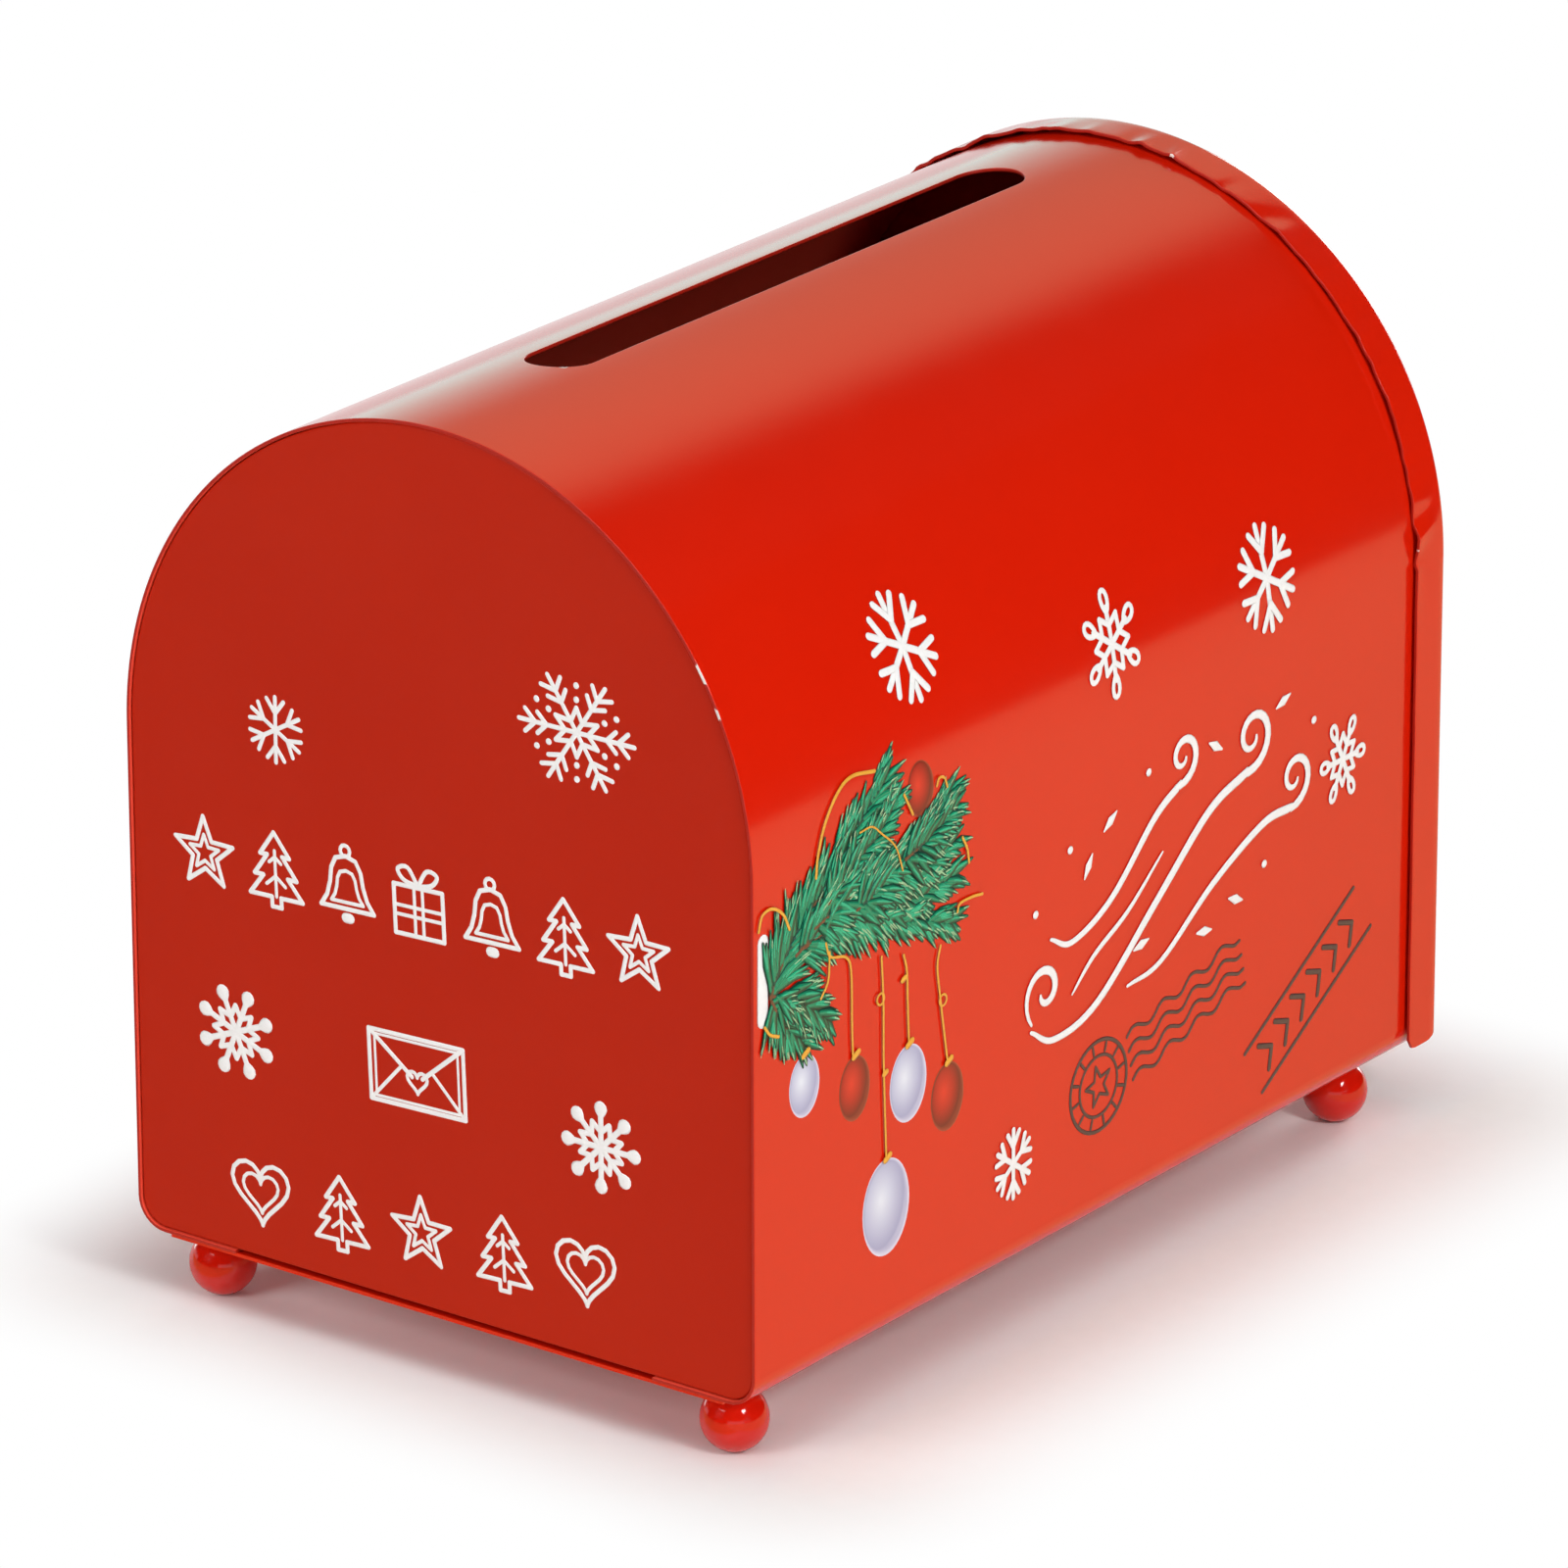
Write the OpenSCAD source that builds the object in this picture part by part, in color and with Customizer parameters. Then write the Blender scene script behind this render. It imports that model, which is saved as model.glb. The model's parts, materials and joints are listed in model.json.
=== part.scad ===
// Tin money box in the shape of an arched letter box.
// Millimetres. +Z is up, the flush front panel faces -Y and the hinged door is at +Y.
// The origin lies on the plane of the feet, under the middle of the whole box, knob included.

/* [Body] */
// Width over the flat sides
body_w = 105; // [80:1:160]
// Length from the front edge to the outer face of the door
body_l = 159.5; // [120:0.5:240]
// Height of the flat sides, from the body's underside to the spring of the arch
side_h = 73.2; // [50:0.1:120]
// Thickness of the tinplate of body, panel and door
sheet_t = 0.5; // [0.3:0.05:0.8]
// Outer radius of the bends along the two lower edges
bend_r = 4.5; // [3.5:0.1:7]
// Width of each edge turned in flat over the floor plate
turn_in_w = 12.5; // [11.5:0.1:16]

/* [Slot] */
// Length of the slot, over its round ends
slot_l = 106; // [60:1:115]
// Width of the slot
slot_w = 10.5; // [4:0.1:16]
// How far the slot lies to the left of the arch's crown
slot_off_x = 3.8; // [0:0.1:6]
// How far the middle of the slot lies behind the middle of the body
slot_off_y = 1.5; // [-8:0.1:8]

/* [Front panel] */
// Depth of the panel's face behind the body's front edge
panel_recess = 0.3; // [0:0.05:1]
// Depth of the panel's turned-in flange, over the face
panel_flange_d = 3.2; // [2:0.1:3.8]
// Outer radius of the bend between face and flange
panel_bend_r = 1; // [0.85:0.05:1.5]
// Clearance between the panel's flange and the body
panel_gap = 0.1; // [0.05:0.05:0.25]

/* [Floor] */
// Thickness of the floor plate, which lies under the body's turned-in edges
floor_t = 0.5; // [0.3:0.05:1]
// How far the plate stays inside the bends along the lower edges
floor_inset = 1; // [0:0.1:3]

/* [Feet] */
// Diameter of each ball foot
foot_d = 9.4; // [7:0.1:11]
// Diameter of the small flat that a foot stands on
foot_flat_d = 2.6; // [1.5:0.1:4]
// Height of the neck between the ball and the floor plate
foot_neck_h = 0.4; // [0.3:0.1:2]
// Diameter of the neck
foot_neck_d = 5.4; // [4.4:0.1:6]
// Distance of a foot's centre from the body's side
foot_in_x = 8.8; // [8.2:0.1:10]
// Distance of a front foot's centre from the front edge
foot_in_front = 7.2; // [7.1:0.1:16]
// Distance of a rear foot's centre from the outer face of the door
foot_in_rear = 11.2; // [9:0.1:20]

/* [Screws] */
// Diameter of the screws that hold the feet and the knob
screw_d = 3; // [2:0.1:3.4]
// Diameter of a screw's head
screw_head_d = 5.5; // [4.4:0.1:6]
// Height of a screw's head
screw_head_h = 1.8; // [1:0.1:2.4]
// Depth of the thread in a foot or in the knob
screw_bite = 5; // [3:0.1:6]
// Free depth of the thread past the screw's tip
screw_tip_gap = 0.5; // [0.3:0.1:1]
// Radial clearance of a screw in its thread
thread_gap = 0.05; // [0.02:0.01:0.1]
// Radial clearance of a screw in the sheet and in its washer
hole_gap = 0.15; // [0.1:0.05:0.3]
// Width of the cross in a screw's head
cross_w = 0.8; // [0.5:0.05:1]
// Depth of the cross in a screw's head
cross_d = 0.9; // [0.4:0.05:0.9]
// Diameter of a washer
washer_d = 6; // [5.6:0.1:6.4]
// Thickness of a washer
washer_t = 0.5; // [0.3:0.05:0.8]

/* [Door] */
// Depth of the door's flange, over the door's face
door_flange_d = 7.2; // [5:0.1:12]
// Outer radius of the bend between face and flange
door_bend_r = 1.2; // [0.85:0.05:2]
// Clearance between the door's flange and the body
door_gap = 0.5; // [0.35:0.05:0.8]
// Clearance between the door's face and the body's rear edge
door_face_gap = 0.3; // [0.3:0.05:0.6]
// Height of the door's lower edge above the body's underside
door_lift = 1.2; // [0:0.1:3]
// Radius that rounds the door's two lower corners
door_corner_r = 2.6; // [1.5:0.1:4]

/* [Hinge] */
// Width of the hinge
hinge_w = 60; // [40:1:66]
// Number of knuckles, an odd number
knuckles = 5; // [3:2:7]
// Gap between neighbouring knuckles
knuckle_gap = 0.4; // [0.3:0.05:0.6]
// Diameter of a knuckle
knuckle_d = 3; // [2.6:0.1:4]
// Thickness of the hinge's leaves
leaf_t = 0.6; // [0.4:0.05:0.6]
// Reach of each leaf from the pin
leaf_reach = 13; // [12:0.1:16]
// Diameter of the hinge pin
pin_d = 1.6; // [1.2:0.1:1.8]
// Radial running clearance of the pin
pin_gap = 0.05; // [0.02:0.01:0.1]
// Diameter of the pin's peened heads
pin_head_d = 2.4; // [2.2:0.1:2.6]
// Thickness of the pin's peened heads
pin_head_t = 0.5; // [0.3:0.05:0.8]
// Clearance between a knuckle and the plates around it
knuckle_clear = 0.4; // [0.3:0.05:0.6]

/* [Rivets] */
// Diameter of a rivet's shank
rivet_d = 2; // [1.4:0.1:2.4]
// Diameter of a rivet's head
rivet_head_d = 4; // [3:0.1:4.6]
// Height of a rivet's head
rivet_head_h = 0.9; // [0.6:0.05:1.2]
// Radial clearance of a rivet in its hole
rivet_gap = 0.05; // [0.02:0.01:0.1]
// Number of rivets in each leaf
rivets = 3; // [2:1:4]
// Distance of the outer rivets from the ends of the leaf
rivet_end = 8; // [4:0.1:10]
// Distance of the rivets from the free edge of the leaf
rivet_edge = 4.5; // [3.5:0.1:5]

/* [Knob] */
// Diameter of the ball knob
knob_d = 9.4; // [7:0.1:14]
// Height of the knob's neck
knob_neck_h = 1.5; // [0.8:0.1:4]
// Diameter of the knob's neck
knob_neck_d = 5.4; // [4.4:0.1:6]
// How far the middle of the knob lies below the arch's crown
knob_drop = 19.7; // [12:0.1:60]

/* [Hidden] */

// Smoothness of the large arch and of the small turned pieces
$fn = 48;
arch_fn = 128;
// Overlap that joins or cuts coincident faces cleanly
eps = 0.01;
// How far a cutter reaches past the sheet that it cuts
over = 1;

// Colours
paint_red = [0.80, 0.12, 0.06];
door_red = [0.76, 0.14, 0.08];
foot_red = [0.82, 0.10, 0.05];
steel = [0.60, 0.60, 0.60];

// Heights, from the plane of the feet
foot_r = foot_d / 2;
foot_cut = foot_r - sqrt(pow(foot_r, 2) - pow(foot_flat_d / 2, 2));
floor_z = foot_neck_h + foot_d - foot_cut;
wrap_z = floor_z + floor_t;
turn_in_top_z = wrap_z + sheet_t;
arch_z = wrap_z + side_h;
arch_r = body_w / 2;
crown_z = arch_z + arch_r;
door_low_z = wrap_z + door_lift;
knob_z = crown_z - knob_drop;

// Places along the length
knob_out = knob_neck_h + knob_d;
front_y = -(body_l + knob_out) / 2;
rear_y = front_y + body_l;
door_in_y = rear_y - sheet_t;
wrap_end_y = door_in_y - door_face_gap;
panel_face_y = front_y + panel_recess;
slot_y = front_y + body_l / 2 + slot_off_y;
foot_front_y = front_y + foot_in_front;
foot_rear_y = rear_y - foot_in_rear;
foot_x = arch_r - foot_in_x;

// Hinge: the door leaf lies on the door's inner face, the body leaf under the floor
knuckle_r = knuckle_d / 2;
pin_y = door_in_y - knuckle_r;
pin_z = floor_z - knuckle_r;
knuckle_pitch = hinge_w / knuckles;
knuckle_w = knuckle_pitch - knuckle_gap;
leaf_start = knuckle_r + knuckle_clear;
rivet_pitch = (hinge_w - 2 * rivet_end) / (rivets - 1);
body_rivet_y = pin_y - leaf_reach + rivet_edge;
door_rivet_z = pin_z + leaf_reach - rivet_edge;

// Offsets of the outlines from the body's outer surface
panel_off = -sheet_t - panel_gap;
door_off = door_gap + sheet_t;

// ---------- shared shapes ----------

// Closed outline of the box seen from the front, moved outward by off, in the XY plane.
module outline(off, low_z, corner_r) {
    half_w = arch_r + off;
    translate([0, arch_z]) circle(r = half_w, $fn = arch_fn);
    translate([-half_w, low_z + corner_r]) square([2 * half_w, arch_z - low_z - corner_r]);
    if (corner_r > 0) {
        translate([-half_w + corner_r, low_z]) square([2 * (half_w - corner_r), 2 * corner_r]);
        for (s = [-1, 1])
            translate([s * (half_w - corner_r), low_z + corner_r]) circle(r = corner_r);
    }
}

// Upright plate of the given thickness, whose rear face lies at y.
module upright_plate(y, t) {
    translate([0, y, 0]) rotate([90, 0, 0]) linear_extrude(t) children();
}

// Carries a profile along the arch and down both sides. The profile's first
// coordinate points outward from the body's surface, its second one along +Y.
module along_arch(low_z) {
    translate([0, 0, arch_z]) rotate([90, 0, 0])
        rotate_extrude(angle = 180, $fn = arch_fn)
            translate([arch_r, 0]) mirror([0, 1]) children();
    for (m = [0, 1]) mirror([m, 0, 0])
        translate([arch_r, 0, low_z]) linear_extrude(arch_z - low_z) children();
}

// Carries the same profile around the two lower corners.
module around_corners(r) {
    for (m = [0, 1]) mirror([m, 0, 0])
        translate([arch_r - r, 0, wrap_z + r]) rotate([90, 0, 0]) rotate([0, 0, -90])
            rotate_extrude(angle = 90) translate([r, 0]) mirror([0, 1]) children();
}

// Carries the same profile inward along the underside, from the corners for a length.
module along_underside(r, len) {
    for (m = [0, 1]) mirror([m, 0, 0])
        translate([arch_r - r - len, 0, wrap_z]) rotate([0, 90, 0])
            linear_extrude(len) children();
}

// Cross-section of a bent edge: a quarter ring that turns a face into a flange.
// The face's outer side lies at y = 0, and its flange runs back to y = depth.
module bent_edge(off, bend, depth) {
    translate([off - bend, bend]) intersection() {
        difference() {
            circle(r = bend);
            circle(r = bend - sheet_t);
        }
        translate([0, -bend]) square(bend);
    }
    translate([off - sheet_t, bend]) square([sheet_t, depth - bend]);
}

module upright_hole(x, y, z, d, len) {
    translate([x, y, z]) cylinder(d = d, h = len);
}

// Cross-head screw, head at the bottom, shank pointing up.
module screw(shank_l) {
    difference() {
        union() {
            cylinder(d = screw_head_d, h = screw_head_h);
            cylinder(d = screw_d - 2 * thread_gap, h = screw_head_h + shank_l);
        }
        for (a = [0, 90]) rotate(a)
            translate([-screw_head_d / 3, -cross_w / 2, -eps])
                cube([screw_head_d * 2 / 3, cross_w, cross_d + eps]);
    }
}

module washer() {
    difference() {
        cylinder(d = washer_d, h = washer_t);
        translate([0, 0, -eps]) cylinder(d = screw_d + 2 * hole_gap, h = washer_t + 2 * eps);
    }
}

// Domed rivet through a stack of plates that starts at z = 0.
module rivet(stack) {
    head_r = rivet_head_d / 2;
    dome_r = (pow(head_r, 2) + pow(rivet_head_h, 2)) / (2 * rivet_head_h);
    cylinder(d = rivet_d, h = stack);
    for (end = [0, 1]) translate([0, 0, end * stack]) mirror([0, 0, 1 - end])
        intersection() {
            translate([0, 0, rivet_head_h - dome_r]) sphere(r = dome_r, $fn = 64);
            cylinder(r = head_r + eps, h = rivet_head_h + eps);
        }
}

// Places its children at each rivet of a leaf, along X.
module at_rivets() {
    for (i = [0 : rivets - 1])
        translate([-hinge_w / 2 + rivet_end + i * rivet_pitch, 0, 0]) children();
}

// Ball on a neck, with a blind threaded hole. The neck starts at z = 0 and points down.
module ball_on_neck(ball_d, neck_d, neck_h) {
    difference() {
        union() {
            translate([0, 0, -neck_h - ball_d / 2]) sphere(d = ball_d, $fn = 64);
            translate([0, 0, -neck_h - ball_d / 4]) cylinder(d = neck_d, h = neck_h + ball_d / 4);
        }
        translate([0, 0, -screw_bite]) cylinder(d = screw_d, h = screw_bite + eps);
    }
}

// ---------- body ----------

module body_wrap() {
    color(paint_red) difference() {
        union() {
            along_arch(wrap_z + bend_r) wrap_edge();
            around_corners(bend_r) wrap_edge();
            along_underside(bend_r, turn_in_w) wrap_edge();
        }
        coin_slot();
        foot_holes();
    }
}

// Cross-section of the wrap's sheet.
module wrap_edge() {
    translate([-sheet_t, front_y]) square([sheet_t, wrap_end_y - front_y]);
}

// Cutter for the long slot with round ends.
module coin_slot() {
    half_run = (slot_l - slot_w) / 2;
    translate([-slot_off_x, slot_y, arch_z]) {
        translate([-slot_w / 2, -half_run, 0]) cube([slot_w, 2 * half_run, arch_r + over]);
        for (s = [-1, 1]) translate([0, s * half_run, 0]) cylinder(d = slot_w, h = arch_r + over);
    }
}

// Cutter for the four screw holes in the wrap's turned-in edges and the floor.
module foot_holes() {
    for (x = [-foot_x, foot_x], y = [foot_front_y, foot_rear_y])
        upright_hole(x, y, floor_z - over, screw_d + 2 * hole_gap, sheet_t + floor_t + 2 * over);
}

module front_panel() {
    corner_r = bend_r + panel_off;
    low_z = wrap_z - panel_off;
    color(paint_red) {
        upright_plate(panel_face_y + sheet_t, sheet_t)
            outline(panel_off - panel_bend_r, low_z + panel_bend_r, corner_r - panel_bend_r);
        translate([0, panel_face_y, 0]) {
            along_arch(wrap_z + bend_r) panel_edge();
            around_corners(bend_r) panel_edge();
            along_underside(bend_r, arch_r - bend_r) panel_edge();
        }
    }
}

module panel_edge() {
    bent_edge(panel_off, panel_bend_r, panel_flange_d);
}

module floor_plate() {
    half_w = arch_r - bend_r - floor_inset;
    hinge_half_w = hinge_w / 2 + knuckle_clear;
    color(paint_red) difference() {
        translate([-half_w, panel_face_y, floor_z])
            cube([2 * half_w, wrap_end_y - panel_face_y, floor_t]);
        // notch that leaves the hinge's knuckles free
        translate([-hinge_half_w, pin_y - leaf_start, floor_z - over])
            cube([2 * hinge_half_w, body_l, floor_t + 2 * over]);
        foot_holes();
        at_rivets()
            upright_hole(0, body_rivet_y, floor_z - over, rivet_d + 2 * rivet_gap, floor_t + 2 * over);
    }
}

// ---------- feet ----------

module foot(x, y) {
    color(foot_red) translate([x, y, floor_z]) difference() {
        ball_on_neck(foot_d, foot_neck_d, foot_neck_h);
        translate([0, 0, -floor_z - foot_r]) cylinder(r = foot_r, h = foot_r);
    }
}

module foot_front_left() { foot(-foot_x, foot_front_y); }
module foot_front_right() { foot(foot_x, foot_front_y); }
module foot_rear_left() { foot(-foot_x, foot_rear_y); }
module foot_rear_right() { foot(foot_x, foot_rear_y); }

module at_feet() {
    for (x = [-foot_x, foot_x], y = [foot_front_y, foot_rear_y]) translate([x, y, 0]) children();
}

module foot_screws() {
    shank_l = washer_t + floor_t + sheet_t + screw_bite - screw_tip_gap;
    color(steel) at_feet()
        translate([0, 0, turn_in_top_z + washer_t + screw_head_h]) mirror([0, 0, 1]) screw(shank_l);
}

module foot_washers() {
    color(steel) at_feet() translate([0, 0, turn_in_top_z]) washer();
}

// ---------- hinge ----------

// Lengths of barrel along X: even turns belong to the body, odd ones to the door.
module knuckle_row(first) {
    for (i = [first : 2 : knuckles - 1])
        translate([-hinge_w / 2 + i * knuckle_pitch + knuckle_gap / 2, 0, 0]) children();
}

module barrel() {
    rotate([0, 90, 0]) cylinder(r = knuckle_r, h = knuckle_w);
}

module pin_bore() {
    translate([-hinge_w, pin_y, pin_z]) rotate([0, 90, 0])
        cylinder(d = pin_d + 2 * pin_gap, h = 2 * hinge_w);
}

module hinge_body_leaf() {
    leaf_z = pin_z + knuckle_r - leaf_t;
    color(steel) difference() {
        union() {
            translate([-hinge_w / 2, pin_y - leaf_reach, leaf_z])
                cube([hinge_w, leaf_reach - leaf_start, leaf_t]);
            knuckle_row(0) {
                translate([0, pin_y, pin_z]) barrel();
                translate([0, pin_y - leaf_start - eps, leaf_z])
                    cube([knuckle_w, leaf_start + eps, leaf_t]);
            }
        }
        pin_bore();
        at_rivets()
            upright_hole(0, body_rivet_y, leaf_z - over, rivet_d + 2 * rivet_gap, leaf_t + 2 * over);
    }
}

module hinge_door_leaf() {
    leaf_y = pin_y + knuckle_r - leaf_t;
    color(steel) difference() {
        union() {
            translate([-hinge_w / 2, leaf_y, pin_z + leaf_start])
                cube([hinge_w, leaf_t, leaf_reach - leaf_start]);
            knuckle_row(1) {
                translate([0, pin_y, pin_z]) barrel();
                translate([0, leaf_y, pin_z]) cube([knuckle_w, leaf_t, leaf_start + eps]);
            }
        }
        pin_bore();
        door_rivet_holes();
    }
}

module door_rivet_holes() {
    at_rivets() translate([0, rear_y + over, door_rivet_z]) rotate([90, 0, 0])
        cylinder(d = rivet_d + 2 * rivet_gap, h = leaf_t + sheet_t + 2 * over);
}

module hinge_pin() {
    reach = hinge_w / 2;
    color(steel) translate([0, pin_y, pin_z]) rotate([0, 90, 0]) {
        translate([0, 0, -reach]) cylinder(d = pin_d, h = 2 * reach);
        for (m = [0, 1]) mirror([0, 0, m])
            translate([0, 0, reach]) cylinder(d = pin_head_d, h = pin_head_t);
    }
}

module hinge_body_rivets() {
    color(steel) at_rivets() translate([0, body_rivet_y, pin_z + knuckle_r - leaf_t])
        rivet(leaf_t + floor_t);
}

module hinge_door_rivets() {
    color(steel) at_rivets() translate([0, rear_y, door_rivet_z]) rotate([90, 0, 0])
        rivet(leaf_t + sheet_t);
}

// ---------- door ----------

module door_panel() {
    color(door_red) difference() {
        union() {
            upright_plate(rear_y, sheet_t) outline(door_off - door_bend_r, door_low_z, 0);
            translate([0, rear_y, 0]) mirror([0, 1, 0])
                along_arch(door_low_z) bent_edge(door_off, door_bend_r, door_flange_d);
        }
        for (m = [0, 1]) mirror([m, 0, 0]) door_corner_cut();
        door_rivet_holes();
        translate([0, rear_y + over, knob_z]) rotate([90, 0, 0])
            cylinder(d = screw_d + 2 * hole_gap, h = sheet_t + 2 * over);
    }
}

// Cutter that rounds the lower corner of the face and of the flange.
module door_corner_cut() {
    edge_x = arch_r + door_off;
    flange_x = edge_x - sheet_t - door_gap / 2;
    cut = door_corner_r + over;
    translate([edge_x - door_corner_r, rear_y - door_bend_r, door_low_z - over]) difference() {
        cube([cut, door_bend_r + over, cut]);
        translate([0, -over, cut]) rotate([-90, 0, 0])
            cylinder(r = door_corner_r, h = door_bend_r + 3 * over);
    }
    translate([flange_x, rear_y - door_corner_r, door_low_z - over]) difference() {
        cube([sheet_t + door_gap, cut, cut]);
        translate([-over, 0, cut]) rotate([0, 90, 0])
            cylinder(r = door_corner_r, h = sheet_t + door_gap + 2 * over);
    }
}

module door_knob() {
    color(foot_red) translate([0, rear_y, knob_z]) rotate([90, 0, 0])
        ball_on_neck(knob_d, knob_neck_d, knob_neck_h);
}

module knob_screw() {
    shank_l = washer_t + sheet_t + screw_bite - screw_tip_gap;
    color(steel) translate([0, door_in_y - washer_t - screw_head_h, knob_z])
        rotate([-90, 0, 0]) screw(shank_l);
}

module knob_washer() {
    color(steel) translate([0, door_in_y, knob_z]) rotate([90, 0, 0]) washer();
}

body_wrap();
front_panel();
floor_plate();
foot_front_left();
foot_front_right();
foot_rear_left();
foot_rear_right();
foot_screws();
foot_washers();
hinge_body_leaf();
hinge_body_rivets();
hinge_pin();
door_panel();
hinge_door_leaf();
hinge_door_rivets();
door_knob();
knob_screw();
knob_washer();
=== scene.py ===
# %% [markdown]
# # A tin money box in the shape of an arched letter box
# A real one is thin steel sheet, tinned and enamelled red, printed, punched and then bent: one wrap
# with a half-round top, a front panel pressed like a shallow pan, and a hinged door whose flange
# slips over the rear end. It stands on four ball feet. The solids that carry and move come from the
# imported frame. This lesson dresses them: each sheet is modelled the way it is made, and each finish
# starts from what the real one is.

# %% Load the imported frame
import json
import math
import random

import bmesh
import bpy
from mathutils import Matrix, Vector, noise


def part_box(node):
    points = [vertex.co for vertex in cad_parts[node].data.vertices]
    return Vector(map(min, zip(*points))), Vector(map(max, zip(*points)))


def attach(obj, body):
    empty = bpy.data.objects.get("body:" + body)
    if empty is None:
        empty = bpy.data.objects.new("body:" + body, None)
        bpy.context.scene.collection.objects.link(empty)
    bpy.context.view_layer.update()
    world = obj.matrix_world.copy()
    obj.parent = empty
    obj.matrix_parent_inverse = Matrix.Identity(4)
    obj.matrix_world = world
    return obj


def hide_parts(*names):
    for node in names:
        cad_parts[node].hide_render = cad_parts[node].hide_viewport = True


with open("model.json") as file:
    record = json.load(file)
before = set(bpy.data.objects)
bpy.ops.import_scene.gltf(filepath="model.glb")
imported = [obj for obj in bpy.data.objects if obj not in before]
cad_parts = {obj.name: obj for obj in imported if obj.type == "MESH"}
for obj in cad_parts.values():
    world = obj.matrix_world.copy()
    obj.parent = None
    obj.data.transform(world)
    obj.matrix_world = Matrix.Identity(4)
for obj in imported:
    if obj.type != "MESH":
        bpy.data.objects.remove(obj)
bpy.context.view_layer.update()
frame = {"nodes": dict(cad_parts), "record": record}
print("nodes in the frame:", len(frame["nodes"]))

# %% [markdown]
# ## Sizes
# Every piece takes its place and size from the solids' own boxes, in millimetres, so that nothing has
# to be fitted by eye. Only the prints have places of their own, on the flat sheet. A finished mesh is
# scaled to metres once, when it becomes a piece.

# %% Read the main sizes from the frame
MM = 0.001
SHEET = 0.5          # thickness of the tinplate


def corners(node):
    """Lowest and highest corner of a CAD node, in millimetres."""
    low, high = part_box(node)
    return low / MM, high / MM


wrap_low, wrap_high = corners("body_wrap")
panel_low, panel_high = corners("front_panel")
door_low, door_high = corners("door_panel")
arch_r = wrap_high.x
spring_z = wrap_high.z - arch_r
underside_z = wrap_low.z
side_height = spring_z - underside_z
print(f"body {2 * arch_r:.1f} wide, {wrap_high.y - wrap_low.y:.1f} long, side {side_height:.1f} high")

# %% [markdown]
# ## The section of the wrap
# A flat sheet that is bent keeps its length, so a place on it can be given as a distance round the
# section, measured from the crown, and a distance along the box. One function turns such a place
# into a point in space. The sheet and everything printed on it go through the same function, so the
# print follows the bend exactly. Real tinplate is never quite flat: a slow ripple of a few hundredths
# of a millimetre is what makes its reflections swim.

# %% Bend a place on the flat sheet round the section
BEND_R = 4.5         # outer radius of the two lower bends
TURN_IN = 12.5       # width of the edges turned in under the floor
RIPPLE = 0.05        # height of the slow ripple in the sheet
RIPPLE_LENGTH = 45.0
CALM = 12.0          # the ripple dies out over this distance from both ends

arch_run = arch_r * math.pi / 2
flat_run = side_height - BEND_R
bend_run = BEND_R * math.pi / 2
half_blank = arch_run + flat_run + bend_run + TURN_IN


def section(run):
    """Point and outward normal of the wrap's section at a signed distance from the crown."""
    side = math.copysign(1, run)
    run = abs(run)
    if run <= arch_run:
        angle = run / arch_r
        normal = Vector((side * math.sin(angle), 0, math.cos(angle)))
        return Vector((0, 0, spring_z)) + normal * arch_r, normal
    run -= arch_run
    if run <= flat_run:
        return Vector((side * arch_r, 0, spring_z - run)), Vector((side, 0, 0))
    run -= flat_run
    if run <= bend_run:
        angle = run / BEND_R
        normal = Vector((side * math.cos(angle), 0, -math.sin(angle)))
        centre = Vector((side * (arch_r - BEND_R), 0, underside_z + BEND_R))
        return centre + normal * BEND_R, normal
    run -= bend_run
    return Vector((side * (arch_r - BEND_R - run), 0, underside_z)), Vector((0, 0, -1))


def on_sheet(run, y, height):
    """The point that lies at a height above the wrap's outer face."""
    point, normal = section(run)
    place = Vector((run, y, 0)) / RIPPLE_LENGTH
    calm = min(1, max(0, min(y - wrap_low.y, wrap_high.y - y)) / CALM)
    ripple = RIPPLE * calm * noise.noise(place)
    return Vector((point.x, y, point.z)) + normal * (height + ripple)


print(f"the blank is {2 * half_blank:.1f} mm wide before it is bent")

# %% [markdown]
# ## Helpers for meshes
# A few small functions carry every piece: they turn a bmesh into a named piece that rides on a body
# and stands in for a CAD node, give the points of an arc, cut a mesh along straight lines, so that it
# can bend there, and finish a sheet.

# %% Define how a mesh becomes a piece
def to_mesh(name, bm):
    """Mesh data made from a bmesh, which is freed."""
    mesh = bpy.data.meshes.new(name)
    bm.to_mesh(mesh)
    bm.free()
    return mesh


def to_scene(name, data):
    """A new object in the scene that holds the data."""
    thing = bpy.data.objects.new(name, data)
    bpy.context.scene.collection.objects.link(thing)
    return thing


def new_piece(name, bm, materials, body="box"):
    """A bmesh in millimetres becomes a smooth-shaded piece in metres that rides on a body."""
    bmesh.ops.scale(bm, vec=(MM, MM, MM), verts=bm.verts)
    mesh = to_mesh(name, bm)
    mesh.shade_smooth()
    for material in materials:
        mesh.materials.append(material)
    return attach(to_scene(name, mesh), body)


def stand_in(node):
    """Hides a CAD node, whose place a new piece takes."""
    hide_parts(node)


def new_verts(extrusion):
    """The vertices that an extrusion made."""
    return [v for v in extrusion["geom"] if isinstance(v, bmesh.types.BMVert)]


# %% Define arcs, cuts and the finish of a sheet
SHARP_ANGLE = math.radians(50)   # an edge that turns more than this is sharp
EDGE_ROUND = 0.1                 # how far the raw edges of a sheet are rounded
WELD = 1e-4                      # points this close become one


def arc(centre, radius, start, end, steps):
    """Points on an arc in a plane, with angles in degrees."""
    angles = [math.radians(start + (end - start) * i / steps) for i in range(steps + 1)]
    return [(centre[0] + radius * math.cos(a), centre[1] + radius * math.sin(a)) for a in angles]


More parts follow.
